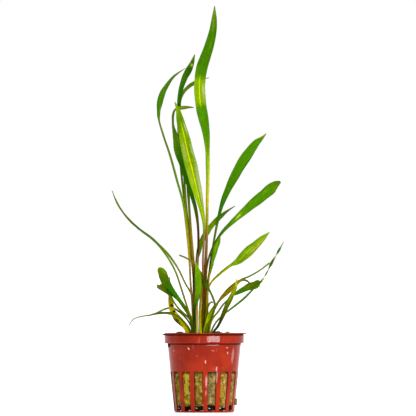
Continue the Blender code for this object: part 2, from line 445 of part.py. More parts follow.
def make_leaf(leaf, group):
    """Loft the leaf's sections from its foot to its tip."""
    stations = leaf_stations(leaf)
    points = [Vector(row[:3]) for row, flat in stations]
    loft = bmesh.new()
    rings = []
    for i, (row, flat) in enumerate(stations):
        tangent = (points[min(i + 1, len(points) - 1)] - points[max(i - 1, 0)]).normalized()
        if i == 0:
            tangent = Vector((0.0, 0.0, 1.0))
        section = leaf_section(row, tangent, flat, leaf.fold, i == len(stations) - 1)
        rings.append([loft.verts.new(point) for point in section])
    for low, high in zip(rings, rings[1:]):
        for k in range(SIDES):
            after = (k + 1) % SIDES
            loft.faces.new((low[k], low[after], high[after], high[k]))
    loft.faces.new(rings[0])
    loft.faces.new(rings[-1])
    bmesh.ops.recalc_face_normals(loft, faces=loft.faces)
    mesh = bpy.data.meshes.new(leaf.name)
    loft.to_mesh(mesh)
    loft.free()
    mesh.shade_smooth()
    mesh.set_sharp_from_angle(angle=math.radians(70.0))
    add_object(leaf.name, mesh, group, leaf.colour, 0.4)


def main():
    clear_scene()
    parts = new_collection("potted_cryptocoryne")
    cutters = new_collection("cutters")
    make_pot(parts, cutters)
    make_rockwool(parts)
    make_root_mat(parts)
    make_root_tuft(parts)
    dome("crown", CROWN_CENTRE, CROWN_RADII, WOOL_TOP + GAP, CROWN_TOP, 0.93, parts, OLIVE)
    for name, centre, radii, top in MOSS_PADS:
        dome(name, centre, radii, WOOL_TOP + GAP, top, 0.4, parts, MOSS_GREEN)
    for leaf in LEAVES:
        make_leaf(leaf, parts)


main()
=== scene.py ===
"""The looks of the potted cryptocoryne, in millimetres and degrees unless a note says otherwise."""
import math
import random
from collections import namedtuple

import bmesh
import bpy
import numpy as np
from mathutils import Matrix, Vector, noise


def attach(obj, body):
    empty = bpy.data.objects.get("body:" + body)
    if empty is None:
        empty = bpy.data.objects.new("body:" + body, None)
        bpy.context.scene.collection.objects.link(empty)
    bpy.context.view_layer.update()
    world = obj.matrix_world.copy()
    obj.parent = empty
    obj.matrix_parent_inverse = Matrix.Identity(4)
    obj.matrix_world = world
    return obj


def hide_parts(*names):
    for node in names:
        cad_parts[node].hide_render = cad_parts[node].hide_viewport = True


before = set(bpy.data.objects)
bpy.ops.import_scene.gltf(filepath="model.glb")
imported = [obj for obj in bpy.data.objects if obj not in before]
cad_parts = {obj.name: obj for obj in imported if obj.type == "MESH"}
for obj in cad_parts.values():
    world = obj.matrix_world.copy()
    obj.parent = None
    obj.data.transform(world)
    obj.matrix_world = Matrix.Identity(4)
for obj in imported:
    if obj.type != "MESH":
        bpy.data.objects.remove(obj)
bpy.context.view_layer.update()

MM = 0.001

# Camera: the photo's pixels are square, and its middle looks along +Y
PHOTO_PIXELS = 416
PIXEL = 0.629
VIEW_CENTRE_X = 2.26
VIEW_CENTRE_Z = 128.6
VIEW_DISTANCE = 12000.0
SENSOR = 36.0

# Net pot, as in the CAD model
BAND_RADIUS = 25.1
BAND_BOTTOM = 43.1
NECK_RADIUS = 23.2
FOOT_RADIUS = 18.85
WALL = 0.9
RIB_COUNT = 15
RIB_WIDTH = 2.9
FIRST_RIB = 1.5
PITCH = 360.0 / RIB_COUNT
SLOT_BOTTOM = 1.0
SLOT_TOP = 25.8
DRAIN_PITCH = 36.0
HOLE_ANGLE = -77.0
HOLE_HALF = 3.4
HOLE_BOTTOM = 41.3
HOLE_TOP = 42.85
DROOP_RADIUS = 25.05
DROOP_START = 17.0
DROOP_REACH = 9.0
WOOL_BOTTOM = 4.7
WOOL_TOP = 47.6
WOOL_INSET = 1.4
CROWN_CENTRE = (-2.4, 0.1)
CROWN_HALF = (10.7, 7.4)

# Leaf surface
RING_POINTS = 26
STATION_STEP = 1.1
FOOT_DEPTH = 1.3
FOOT_SWELL = 1.12
STALK_SWELL = 1.22
THINNEST = 0.16
THIN_STALK = 1.05
BLADE_MID = 0.42
BLADE_EDGE = 0.14
GROOVE_DEPTH = 0.13
GROOVE_WIDTH = 0.32
VEIN_HEIGHT = 0.035

# Colours of the plant, which the leaves name
PALETTE = {
    "soot": "#1C1206", "night": "#0C400E", "black_olive": "#30380A", "pine": "#2A6C06", "moss": "#3A6006",
    "murk": "#4A4E0E", "deep_green": "#3C7203", "forest": "#536A06", "earth": "#5C460E",
    "green": "#478206", "dull_green": "#557606", "olive": "#6A7008", "grey_green": "#4E7426",
    "light_olive": "#6A860A", "fresh": "#5C8C06", "dusty": "#6A7A26", "ochre": "#867408",
    "gold_olive": "#7A860A", "brown": "#84582A", "spring": "#6A9606", "mustard": "#8E8204",
    "willow": "#82A83A", "apple": "#7CA40C", "straw": "#8C9210", "clay": "#8C6A48", "gold": "#A49610",
    "lime": "#8EBA14", "sage": "#84945A", "yellow": "#C2BC04", "tan": "#B49260", "pale_lime": "#B0C84C",
    "ash": "#A8B888", "cream": "#DCCE7A", "maroon": "#461E0C", "mauve": "#8A6258", "sun": "#CEDA00",
    "lemon": "#F0E800", "rust": "#86500A",
}

# A leaf: the row where its blade starts, its fold and wave, tints by row number, and rows of x, y, z, width
# and roll, 0 if left out. Then the midrib (colour, strength, first and last row), marks (row, place across,
# half length in rows, half width, colour, strength), some of them painted sheen and glints, and bites (row, side,
# depth, length in rows).
Leaf = namedtuple("Leaf", "name slot blade fold wave tints rows rib marks bites", defaults=((), (), ()))
LEAVES = (
    Leaf("leaf_tallest", "leaf_dark", 7, 0.22, 0.25,
         "0 gold_olive, 1 ochre, 2 rust, 3 brown, 4 clay, 4.6 gold, 5.2 yellow, 6.2 lime, 7 spring, 8 green, "
         "9.7 green, 10 apple, 11.3 apple, 11.7 green, 12.4 deep_green, 15 deep_green, 17 light_olive",
         ((-1.5, 2.1, 50, 1.9), (-0.9, 2.4, 59.9, 1.9), (-0.3, 2.7, 70.9, 1.9), (0.5, 2.8, 87.9, 1.7),
          (1.4, 2.6, 107.9, 1.4), (1.8, 2.2, 130.9, 1.6), (2.2, 1.6, 153.9, 2.2), (1.9, 1.2, 164.9, 2.9, 5),
          (1.1, 0.9, 174.9, 4.6, 10), (-0.8, 0.5, 184.9, 6.6, 15), (-2.65, 0.3, 194.9, 7.4, 20),
          (-3.3, 0.3, 204.9, 7.4, 20), (-2.3, 0.7, 214.9, 7.6, 20), (0.5, 1.6, 223.9, 7, 18),
          (3.5, 2.6, 232.9, 5.8, 15), (5.2, 3.4, 239.9, 4.9, 12), (6.1, 4, 247.4, 3.4, 10),
          (6.4, 4.4, 255.79, 0.5, 10)),
         ("sun", 0.75, 9.9, 11.5),
         # The ash mark is a painted sheen on the right half.
         ((10.7, 0.84, 0.75, 0.16, "ash", 0.8), (5.6, 0.95, 1.4, 0.3, "cream", 0.75),
          (3.4, 0.05, 1.7, 0.45, "brown", 0.75), (14.2, 0.62, 1.6, 0.1, "fresh", 0.6),
          (15.8, 0.45, 1.2, 0.13, "sage", 0.6), (15, 0.94, 2, 0.18, "pine", 0.7))),
    Leaf("leaf_broad_pale", "leaf_pale", 7, 0.16, 0.2,
         "0 yellow, 1 gold, 1.8 mustard, 2.5 brown, 3 brown, 4 mauve, 5 clay, 5.5 light_olive, 6 apple, 7 apple, "
         "8 lime, 10 apple, 12 apple, 13 fresh, 14.4 apple, 15 willow",
         ((-2.5, -4.6, 50, 1.5), (-2.8, -4.3, 59.9, 1.5), (-2.3, -4, 70.9, 1.3), (-1.1, -3.8, 82.9, 1.2),
          (-0.9, -3.7, 95.9, 1.1), (-0.3, -4, 109.9, 1.2), (-0.2, -4.4, 117.9, 1.5), (-1.7, -5, 127.9, 3.3, -8),
          (-3.5, -5.5, 135.9, 5.3, -12), (-5.6, -6, 144.4, 7.1, -15), (-8.1, -6.5, 154.9, 8.1, -15),
          (-10.6, -6.9, 164.4, 7.8, -15), (-12.8, -7.2, 174.9, 6.6, -15), (-15.3, -7.3, 184.4, 4.7, -12),
          (-16.6, -7.3, 190.4, 2.6, -10), (-18.7, -7.2, 195.4, 0.5, -10)),
         ("sun", 1, 5.8, 12.6),
         # The ash and pale lime marks are painted sheen, the right ones with pale specks.
         ((11, 0.22, 0.9, 0.2, "ash", 0.45), (9.4, 0.24, 1, 0.2, "pale_lime", 0.4),
          (8.6, 0.88, 2.2, 0.34, "ash", 0.95), (11, 0.86, 0.7, 0.14, "ash", 0.9),
          (12.6, 0.2, 0.8, 0.2, "green", 0.6), (10.9, 0.72, 1.2, 0.14, "fresh", 0.7),
          (7.6, 0.1, 0.9, 0.25, "lime", 0.5), (12.4, 0.84, 0.6, 0.12, "ash", 0.95),
          (8, 0.62, 2.2, 0.09, "green", 0.6))),
    Leaf("leaf_folded_tip", "leaf_dark", 6, 0.2, 0.25,
         "0 cream, 1 tan, 2 clay, 3 mauve, 3.5 maroon, 4.6 maroon, 5.2 murk, 6 moss, 7 pine, 9 pine, 9.8 green, "
         "10.6 fresh, 12 dull_green, 14 light_olive, 17 dusty",
         ((-4.5, -3.9, 50, 1.5), (-4.8, -3.4, 62.9, 1.4), (-4.7, -3, 80.9, 1.3), (-4.2, -2.6, 95.9, 1.2),
          (-3.75, -2.3, 106.9, 1.2), (-4.3, -2, 119.9, 1.4, -10), (-6.4, -1.7, 131.9, 2.6, -20),
          (-8.9, -1.5, 139.9, 2.9, -30), (-11.3, -1.3, 147.9, 3.8, -36), (-13.8, -1.1, 156.9, 5.4, -38),
          (-16.5, -0.8, 166.4, 6.2, -38), (-18, -0.5, 174.9, 5, -50), (-19.6, -0.2, 181.9, 3.2, -64),
          (-19.6, 0, 186.5, 2.9, -56), (-18.3, 0.3, 190.2, 2.6, -60), (-14.1, 0.6, 191.3, 3.2, -40),
          (-10.2, 0.8, 191.9, 2, -35), (-6.6, 1, 191.8, 0.5, -30)),
         ("deep_green", 0.35, 6.5, 12),
         ((9.3, 0.92, 1, 0.25, "night", 0.9), (7.4, 0.85, 1, 0.3, "pine", 0.6))),
    Leaf("leaf_behind_broad", "leaf_green", 6, 0.2, 0.2,
         "0 ochre, 1 clay, 2 clay, 2.6 ochre, 3.5 ochre, 4 olive, 5 dull_green, 6 green, 10 deep_green",
         ((-4.9, -0.6, 50, 1.5), (-5.2, -0.4, 65.9, 1.4), (-6.1, 0.2, 84.9, 1.3), (-7.7, 1.2, 103.9, 1.3),
          (-9.1, 2.2, 121.9, 1.3), (-10, 3, 135.9, 1.5), (-10.4, 3.5, 143.9, 2.4, 15), (-11, 3.9, 153.9, 4.2, 25),
          (-11.8, 4.1, 163.9, 5, 28), (-13, 4.1, 173.9, 4, 28), (-14.3, 3.9, 183.9, 0.5, 28)),
         ("fresh", 0.4, 6.5, 9.5)),
    Leaf("leaf_upper_back", "leaf_dark", 8, 0.2, 0.2,
         "0 straw, 1.5 clay, 3 gold, 4 straw, 5 light_olive, 6 light_olive, 7 night, 8 pine, 9 pine, 10 deep_green, "
         "11 pine, 12 green, 13 apple",
         ((-5.9, 4.1, 50, 1.4), (-6.7, 4.7, 66.9, 1.2), (-7, 4.4, 85.9, 1.1), (-8.7, 4.9, 101.9, 1.1),
          (-10.6, 5.9, 119.9, 1.1), (-13.2, 7, 137.9, 1.1), (-15.2, 7.9, 158.9, 1.2), (-16.4, 8.5, 182.9, 1.4),
          (-15.8, 8.6, 197.9, 3, 30), (-14.5, 8.5, 205.5, 4.2, 42), (-12.7, 8.4, 210.7, 5, 42),
          (-10.3, 8.2, 215.3, 5.3, 38), (-8, 8, 220, 3.4, 35), (-6.1, 7.8, 225.3, 0.5, 30)),
         ("green", 0.4, 9, 12.5),
         # The pale lime mark is a painted glint.
         ((11.75, 0.6, 0.3, 0.4, "pale_lime", 0.9), (12.6, 0.3, 0.3, 0.3, "apple", 0.5))),
    Leaf("leaf_arching_back", "leaf_green", 9, 0.15, 0.15,
         "0 gold, 2 clay, 3 gold, 4 straw, 5 light_olive, 7 dull_green, 8 dull_green, 10 light_olive, 12 dull_green, "
         "13 gold_olive, 14 sage",
         ((-5.2, 1.5, 50, 1.4), (-5.6, 1.4, 68.9, 1.2), (-6, 2, 86.9, 1.1), (-7.9, 3.1, 103.9, 1.1),
          (-10.3, 4, 119.4, 1.1), (-12.1, 5.3, 137.9, 1.1), (-13.2, 6.9, 157.9, 1.1), (-14.6, 8.9, 176.9, 1.1),
          (-15.7, 11, 190.9, 1.3, 30), (-15.2, 12.1, 197.9, 2.9, 50), (-12.9, 12.9, 202.3, 4, 58),
          (-9.6, 13.2, 205.5, 4.4, 58), (-5.5, 13.3, 208.2, 4.2, 62), (-1, 13.2, 209.9, 2.6, 76),
          (3, 13, 210.5, 0.5, 80)),
         ("light_olive", 0.3, 10, 13)),
    Leaf("leaf_left_curved", "leaf_green", 10, 0.2, 0.2,
         "0 yellow, 1 gold, 2 tan, 3 gold, 3.6 gold, 4 straw, 5 fresh, 7 dull_green, 9 dull_green, 10 deep_green, "
         "13 deep_green, 14.5 forest, 15.3 dusty, 16 ash",
         ((-7.3, 1.3, 50, 1.3), (-7.5, 1.1, 65.9, 1.2), (-8.7, 0.8, 80.9, 1.1), (-9.5, 0.4, 97.9, 1.1),
          (-11.2, -0.3, 115.9, 1.15), (-13.3, -1.2, 131.4, 1.1), (-17.5, -2.6, 146.9, 1.2),
          (-21.8, -3.9, 162.4, 1.15), (-26, -5, 174.9, 1), (-28.6, -5.7, 184.4, 1.1, 15), (-28.9, -6, 189.9, 3, 35),
          (-28.4, -6.1, 194.9, 4.7, 38), (-26.7, -6, 200.3, 4.8, 40), (-23.8, -5.7, 205.7, 3.7, 45),
          (-20.2, -5.3, 210.6, 2.3, 45), (-15.7, -4.9, 214.1, 1.2, 40), (-11.7, -4.5, 216.6, 0.5, 40)),
         ("fresh", 0.35, 10.5, 14),
         ((11, 0.08, 1.4, 0.16, "pine", 0.6), (10.1, 0.9, 0.6, 0.3, "sage", 0.6), (1.5, 0.9, 1.5, 0.5, "tan", 0.5))),
    Leaf("leaf_short_front", "leaf_pale", 3, 0.15, 0.2,
         "0 moss, 1 night, 2 night, 2.8 pine, 4 fresh, 6 fresh, 7 spring, 8 apple",
         ((-5.9, -5.8, 50, 1.2), (-6.3, -6.4, 58.9, 1), (-6.1, -7.2, 65.4, 1.1), (-5, -7.8, 69.9, 2.4, 10),
          (-4.1, -8.2, 74.9, 3.8, 15), (-3.9, -8.5, 79.9, 4.2, 18), (-4, -8.8, 84.9, 4.2, 18),
          (-4.4, -9, 89.4, 3.3, 15), (-5.4, -9.2, 94.3, 0.5, 12)),
         ("green", 0.5, 3, 6.5),
         ((4.8, 0.1, 1.6, 0.22, "green", 0.7), (5, 0.8, 1.4, 0.2, "spring", 0.7),
          (3.4, 0.85, 0.7, 0.3, "deep_green", 0.7))),
    Leaf("leaf_bent_back", "leaf_dark", 6, 0.15, 0.15,
         "0 olive, 2 forest, 5.5 forest, 7 moss, 8 black_olive, 10 murk",
         ((0.9, -5, 50, 1.1), (2.9, -5.2, 56.1, 1), (4.8, -5.4, 60.2, 1), (6.1, -5.6, 64.1, 1),
          (6.5, -5.7, 68.1, 1.2), (5.4, -5.9, 72.1, 1.2), (3.4, -6.1, 76.3, 1.5, 20), (1.6, -6.3, 79.4, 2.4, 32),
          (-0.1, -6.5, 82.5, 2.9, 34), (-1.8, -6.6, 86.3, 2.3, 34), (-3.5, -6.7, 90.5, 0.5, 34)),
         ("dull_green", 0.4, 7, 9.5),
         ((8.2, 0.9, 0.7, 0.25, "black_olive", 0.7),)),
    Leaf("leaf_short_striped", "leaf_pale", 1, 0.15, 0.1,
         "0 gold_olive, 1 lime, 1.8 sun, 2.6 lime, 3.2 apple, 4 light_olive, 5 earth",
         ((-0.4, -3.4, 50, 1.3), (1.1, -3.4, 54.9, 2.2, 20), (2.8, -3.4, 58.9, 3.3, 25), (4.3, -3.4, 62.7, 3.8, 25),
          (5.7, -3.4, 65.7, 2.2, 25), (6.4, -3.4, 67.8, 0.5, 25)),
         ("sun", 0.95, 0.6, 4.2),
         ((2, 0.8, 1.4, 0.1, "moss", 0.85), (2.6, 0.22, 1.2, 0.08, "forest", 0.8), (3.2, 0.02, 1, 0.1, "clay", 0.8))),
    Leaf("stalk_hooked", "leaf_olive", 7, 0.0, 0.0,
         "0 ochre, 2 olive, 4.5 olive, 6 olive",
         ((-0.3, -1.8, 50, 0.7), (0.6, -2.1, 57.9, 0.7), (1.3, -2.3, 63.9, 0.75), (2.3, -2.4, 66.5, 0.8),
          (3.4, -2.5, 68.7, 0.8), (4.5, -2.5, 69.5, 0.7), (5.4, -2.5, 69.1, 0.5))),
    Leaf("leaf_ochre_hooked", "leaf_dying", 5, 0.15, 0.15,
         "0 olive, 3 olive, 4 ochre, 5 mustard, 7 mustard, 8 ochre, 9 mustard, 10 olive, 12 earth",
         ((2.1, -0.6, 50, 1), (2.7, -0.3, 55.9, 0.9), (4.3, 0, 60.1, 0.9), (6.8, 0.5, 66.5, 1.2),
          (10, 1, 71.2, 1.4, 15), (12.3, 1.3, 73.9, 2.9, 30), (14.8, 1.6, 76.3, 3.9, 35), (17.2, 1.8, 78.2, 3.8, 36),
          (19.5, 2, 80.3, 3, 36), (21.9, 2.1, 82.6, 2.2, 36), (24.4, 2, 83.4, 1.6, 30), (27.1, 1.8, 82.6, 1.3, 20),
          (29, 1.6, 80.3, 0.5, 20)),
         ("gold", 0.4, 5, 8),
         ((6.2, 0.85, 1.3, 0.22, "gold", 0.7), (6, 0.06, 1.6, 0.2, "murk", 0.75))),
    Leaf("leaf_spear_right", "leaf_pale", 8, 0.2, 0.2,
         "0 straw, 2 gold, 3 tan, 3.6 gold, 5 gold_olive, 6.5 apple, 8 spring, 11 apple, 12.3 apple, 13 willow",
         ((0.5, -0.5, 50, 1.1), (1.2, -0.6, 59.9, 1), (1.6, -0.9, 69.9, 0.95), (2.2, -1.4, 76.9, 0.9),
          (4.2, -2.2, 81.7, 1), (8.1, -3.4, 85.8, 1.3), (13.3, -5, 90.2, 1.6), (18, -6.5, 93.4, 1.9, -5),
          (21.3, -7.5, 95.2, 4.3, -15), (24.8, -8.6, 98.3, 5.9, -20), (28.4, -9.7, 101.6, 6.7, -22),
          (32.4, -10.8, 105.2, 5.4, -22), (36.6, -11.8, 109.4, 3.7, -20), (40.9, -12.6, 113.4, 0.5, -18)),
         ("lime", 0.8, 8, 12.5),
         ((11, 0.72, 1.6, 0.09, "cream", 0.8), (10.6, 0.95, 2, 0.14, "gold", 0.7),
          (10.4, 0.08, 2.2, 0.13, "green", 0.7), (9.9, 0.4, 1.6, 0.06, "pale_lime", 0.7),
          (5.6, 0.9, 1.8, 0.35, "yellow", 0.7))),
    Leaf("leaf_olive_front", "leaf_olive", 3, 0.2, 0.15,
         "0 black_olive, 1.5 black_olive, 3 murk, 4 forest, 5 forest, 6 gold_olive, 7 straw, 8 yellow",
         ((5.6, -4.6, 50, 1.2), (8.4, -5, 54.1, 1.35), (10.3, -5.5, 57.8, 1.6), (12.2, -6.2, 62.9, 3, 20),
          (13.9, -6.8, 67, 3.3, 28), (15.8, -7.4, 71.1, 3.7, 32), (17.7, -8, 74.9, 3, 34),
          (19.7, -8.6, 79.3, 2.3, 34), (20.1, -9, 84.2, 0.5, 30)),
         ("lime", 0.7, 4.5, 8),
         ((4.6, 0.9, 1.2, 0.25, "murk", 0.6), (7.1, 0.75, 0.35, 0.3, "pale_lime", 0.7))),
    Leaf("leaf_blunt_right", "leaf_green", 7, 0.15, 0.3,
         "0 straw, 3 gold_olive, 5 forest, 6.5 deep_green, 8 deep_green, 9 dull_green, 11 dull_green, 12 sage",
         ((3.2, -2, 50, 1.1), (4, -1.6, 56.1, 0.9), (5.6, -1.2, 59.6, 0.85), (8.6, -0.4, 63.3, 0.95),
          (12, 0.6, 68.1, 0.9), (15.4, 1.6, 71.3, 0.9), (18.6, 2.6, 74, 1.1, 5), (21.4, 3.3, 75.7, 2.9, 15),
          (24.9, 4.2, 77.6, 3.8, 20), (28.2, 4.9, 79.2, 4.8, 22), (31.6, 5.4, 80.1, 5.3, 22), (34, 5.8, 81, 5.6, 22),
          (35.1, 5.9, 80.8, 4.6, 22)),
         ("light_olive", 0.4, 8, 11),
         ((8.9, 0.6, 0.5, 0.3, "olive", 0.6), (11.4, 0.55, 0.4, 0.3, "willow", 0.75),
          (9.6, 0.1, 1.2, 0.15, "moss", 0.7)),
         ((11.2, 1, 0.4, 0.2), (10.7, 1, 0.15, 0.12), (11.7, 1, 0.35, 0.12), (12, -1, 0.3, 0.16))),
    Leaf("leaf_twisted_thin", "leaf_olive", 5, 0.0, 0.0,
         "0 straw, 2 light_olive, 3 green, 5.7 moss, 6.25 ash, 6.5 forest, 6.85 moss, 7.15 sage, 7.4 moss, 8.3 moss, "
         "8.85 ash, 9.15 pine, 9.5 pine, 10 ash",
         ((4.4, -0.2, 50, 0.9), (7.2, 0.2, 56.5, 0.8), (12.6, 0.7, 62, 0.8), (18.7, 1.2, 66.7, 1.1),
          (25.1, 1.6, 71.9, 1.2), (30.6, 1.8, 77.5, 1.2, 10), (36.9, 1.4, 84, 1.3, 30), (39.7, 1, 88.8, 1.3, 60),
          (42.6, 0.4, 94.7, 1.3, 30), (45.4, -0.4, 99.4, 1, 10), (49.78, -1.4, 107.2, 0.5)),
         bites=((5.7, 0, -0.35, 0.3), (6.25, 0, 0.5, 0.2), (6.85, 0, -0.55, 0.25), (7.15, 0, 0.45, 0.12),
                (7.75, 0, -0.75, 0.4), (8.85, 0, 0.6, 0.2), (9.35, 0, -0.8, 0.22))),
    Leaf("leaf_thread_right", "leaf_olive", 8, 0.0, 0.0,
         "0 olive, 3 forest, 4.5 grey_green, 7 sage",
         ((2.5, 2.6, 50, 0.9), (4.6, 3, 60.4, 0.7), (8.9, 4, 69.5, 0.7), (14.5, 5.2, 77.4, 0.6), (22, 6.4, 83, 0.8),
          (28.2, 7.2, 85.6, 0.8), (35.2, 8, 89.6, 0.75), (41, 8.8, 94, 0.5))),
    Leaf("leaf_upper_right", "leaf_green", 7, 0.2, 0.2,
         "0 gold_olive, 1.5 brown, 2.4 earth, 3 maroon, 3.4 olive, 4 olive, 4.7 dull_green, 5.2 pine, 6 pine, "
         "7 deep_green, 9 green, 11.7 green, 12.3 light_olive, 13 clay",
         ((0.9, 2.9, 50, 1.2), (1.4, 2.9, 68.9, 1.1), (2.5, 3.2, 83.9, 1), (4.1, 3.9, 95.9, 1), (6, 4.9, 107.9, 1.1),
          (8.4, 5.9, 120.4, 1.4), (11, 6.8, 130.7, 2.2, 10), (14.7, 7.7, 140.3, 4.5, 20),
          (19.5, 8.6, 150.1, 6.4, 25), (25.2, 9.4, 159.9, 7.2, 26), (29.1, 9.9, 165.4, 6.3, 25),
          (32.7, 10.3, 169.8, 4.7, 22), (36.2, 10.6, 172.7, 2.2, 15), (38.9, 10.8, 175.4, 0.5, 10)),
         ("green", 0.4, 7, 11.5),
         ((8.8, 0.95, 2, 0.14, "pine", 0.7), (8.5, 0.1, 2.4, 0.15, "green", 0.6), (12, 0.1, 0.6, 0.2, "straw", 0.7))),
    Leaf("leaf_behind_stalks", "leaf_pale", 5, 0.2, 0.2,
         "0 gold, 1.5 clay, 3 gold_olive, 3.7 green, 4.6 spring, 6 fresh, 7 apple, 8 fresh, 9 dull_green, 10 sage",
         ((-4.2, 4.9, 50, 1.4), (-5, 5.2, 64.9, 1.2), (-5.3, 5.7, 80.9, 1.1), (-5.1, 6.5, 93.9, 1.1),
          (-3.9, 7.3, 99.9, 2.2, -15), (-1.7, 8.2, 107.1, 3.8, -32), (1.4, 9, 112.7, 4.4, -35),
          (5, 9.8, 117.7, 4.1, -35), (9.2, 10.5, 122.1, 3.6, -35), (13.5, 11.1, 125.9, 2.1, -32),
          (19.3, 11.6, 129.9, 0.5, -30)),
         ("apple", 0.6, 5, 8.5),
         ((6.6, 0.85, 0.9, 0.2, "lime", 0.6), (6, 0.1, 1.6, 0.14, "green", 0.6))),
    Leaf("leaf_broad_right", "leaf_dark", 8, 0.2, 0.2,
         "0 olive, 2 ochre, 3 earth, 4 forest, 5 moss, 6 deep_green, 7 green, 8 fresh, 9 green, 12 green, "
         "13 dull_green, 14 deep_green",
         ((0.3, 1.2, 50, 1.1), (0.7, 1.2, 65.9, 1), (1.1, 0.9, 79.9, 1), (1.8, 0.8, 92.9, 1), (4, 0.5, 100.9, 1),
          (7.6, 0.1, 108.2, 1.1), (12, -0.5, 114.3, 1.7), (16.8, -1.1, 119.1, 2.3, 10), (22, -1.7, 124, 4, 15),
          (27.3, -2.3, 128.8, 5.5, 20), (32.6, -2.9, 133.3, 6.7, 22), (37.5, -3.3, 137.4, 6.9, 22),
          (41.6, -3.7, 140.8, 7.4, 20), (44.8, -4, 143.5, 4.8, 15), (47.8, -4.2, 145.2, 1.4, 10)),
         ("fresh", 0.4, 8, 12.5),
         ((7.9, 0.5, 0.6, 0.2, "pale_lime", 0.8), (11.3, 0.35, 0.5, 0.2, "spring", 0.6),
          (10.4, 0.95, 2.2, 0.12, "deep_green", 0.75), (10.6, 0.05, 2.2, 0.12, "deep_green", 0.7),
          (12.3, 0.8, 0.7, 0.2, "fresh", 0.6)),
         ((12.6, 1, 0.14, 0.12), (13.1, 1, 0.1, 0.1))),
    Leaf("leaf_beside_stalks", "leaf_pale", 5, 0.2, 0.15,
         "0 straw, 1 gold, 3 gold, 4 fresh, 5 green, 6 green, 7 spring, 8 green, 9 spring",
         ((1.9, 1, 50, 1.1), (2, 0.6, 65.9, 1), (2.3, 0.1, 78.9, 0.9), (3.2, -0.6, 86.1, 0.9),
          (4.3, -1.2, 90.4, 1.3), (5.1, -1.9, 95.1, 2.2, 25), (6.4, -2.6, 100.2, 3, 30), (7.1, -3.2, 104.2, 3.7, 30),
          (8.7, -3.7, 107.6, 2.9, 30), (10, -4.1, 110.6, 0.5, 30)),
         ("lime", 0.7, 4.5, 8),
         ((5.4, 0.9, 0.8, 0.2, "willow", 0.6), (7, 0.1, 1.2, 0.2, "deep_green", 0.6))),
    Leaf("leaf_long_left", "leaf_green", 6, 0.15, 0.15,
         "0 gold, 1 brown, 2 gold, 3 straw, 4 gold_olive, 5 light_olive, 6.5 dull_green, 8 moss, 10 forest, "
         "11 dull_green, 12 light_olive",
         ((-7.3, 2.9, 50, 1), (-7.4, 3.2, 64.9, 0.9), (-8.3, 4.2, 74.4, 0.8), (-12, 5.2, 81.1, 0.8),
          (-16.1, 6.4, 89.6, 0.85), (-21.3, 7.6, 97.5, 1.1, 30), (-26.9, 8.8, 103.9, 2, 64),
          (-33.2, 10, 109.4, 3.6, 69), (-39.7, 11, 114, 4.2, 70), (-45.7, 11.8, 119.1, 3.4, 68),
          (-51, 12.4, 125.3, 2.4, 62), (-55.8, 12.8, 133.3, 1.5, 50), (-58.05, 13, 139.5, 0.5, 60)),
         ("light_olive", 0.3, 7, 11)),
    Leaf("leaf_long_left_lower", "leaf_olive", 6, 0.15, 0.1,
         "0 gold, 2 gold, 3 ochre, 4 olive, 5 light_olive, 7 dull_green, 10 grey_green",
         ((-6.7, -0.3, 50, 1.1), (-7.4, -0.5, 56.9, 0.95), (-9.4, -0.8, 62.3, 0.95), (-11.9, -1.3, 69.7, 0.95),
          (-14.8, -1.9, 78.8, 0.95), (-18.4, -2.6, 89.1, 1), (-23.2, -3.2, 97.6, 1.3, 30),
          (-28.9, -3.7, 104.9, 2, 62), (-34.7, -4, 110.3, 2.8, 77), (-39, -4.2, 113.6, 2, 76),
          (-42.3, -4.3, 115.9, 0.5, 70)),
         ("light_olive", 0.3, 7, 9.5)),
    Leaf("leaf_blunt_left", "leaf_dark", 4, 0.2, 0.3,
         "0 olive, 1 forest, 2 forest, 3 moss, 4 deep_green, 5 pine, 6 moss, 8 forest, 9 dull_green, 10 light_olive",
         ((-6.9, -3.6, 50, 1.2), (-7.6, -3.9, 55.4, 1.2), (-9.6, -4.6, 60.9, 1.4), (-12.5, -5.6, 66, 1.9),
          (-16.3, -7, 71.3, 2.7, 10), (-20.4, -8.3, 76.1, 4.4, 20), (-23.8, -9.3, 80.5, 6, 24),
          (-25.7, -10.1, 84.8, 6.3, 26), (-26.9, -10.7, 88.1, 6, 26), (-28.2, -11.1, 89.9, 4.3, 26),
          (-28.9, -11.3, 91, 1.8, 26)),
         ("moss", 0.4, 5, 9),
         ((4.9, 0.1, 1.1, 0.35, "night", 0.95), (8.2, 0.8, 1.2, 0.3, "fresh", 0.8),
          (4.6, 0.95, 1.1, 0.2, "green", 0.7), (6.8, 0.05, 1.2, 0.2, "moss", 0.7))),
    Leaf("leaf_notched_left", "leaf_olive", 6, 0.15, 0.3,
         "0 straw, 2 gold_olive, 4 light_olive, 6 dull_green, 7 light_olive, 8 gold_olive, 9 light_olive",
         ((-7, -1.9, 50, 1.1), (-7.5, -2, 54.4, 1), (-9.3, -2.3, 58.7, 0.9), (-13.2, -2.9, 62.6, 0.9),
          (-17, -3.5, 66.3, 0.9), (-20, -4.1, 70.9, 1), (-22.4, -4.7, 74.9, 2.6, 25), (-25.4, -5.3, 77.5, 4.4, 32),
          (-28, -5.8, 79.1, 4.6, 32), (-29.8, -6.1, 79.5, 3, 30)),
         ("light_olive", 0.3, 6.5, 8.5),
         ((7.6, 0.1, 0.8, 0.2, "forest", 0.6),),
         ((8.4, 1, 0.55, 0.22),)),
    Leaf("leaf_yellow_dying", "leaf_dying", 1, 0.15, 0.25,
         "0 lemon, 1.4 lemon, 2 sun, 2.7 gold, 3.4 yellow, 5 gold, 6 light_olive, 7 brown",
         ((-10.2, 0.4, 50, 2.8), (-12.3, 0.5, 54.3, 3.6, 10), (-15.4, 0.7, 57.4, 4.6, 15),
          (-18.4, 0.9, 60.6, 4.6, 15), (-20.5, 1.1, 64.7, 3.6, 20), (-21.3, 1.3, 70, 3.4, 25),
          (-21.8, 1.5, 76, 1.9, 30), (-21.9, 1.7, 85.3, 0.5, 30)),
         ("gold", 0.4, 1.5, 5),
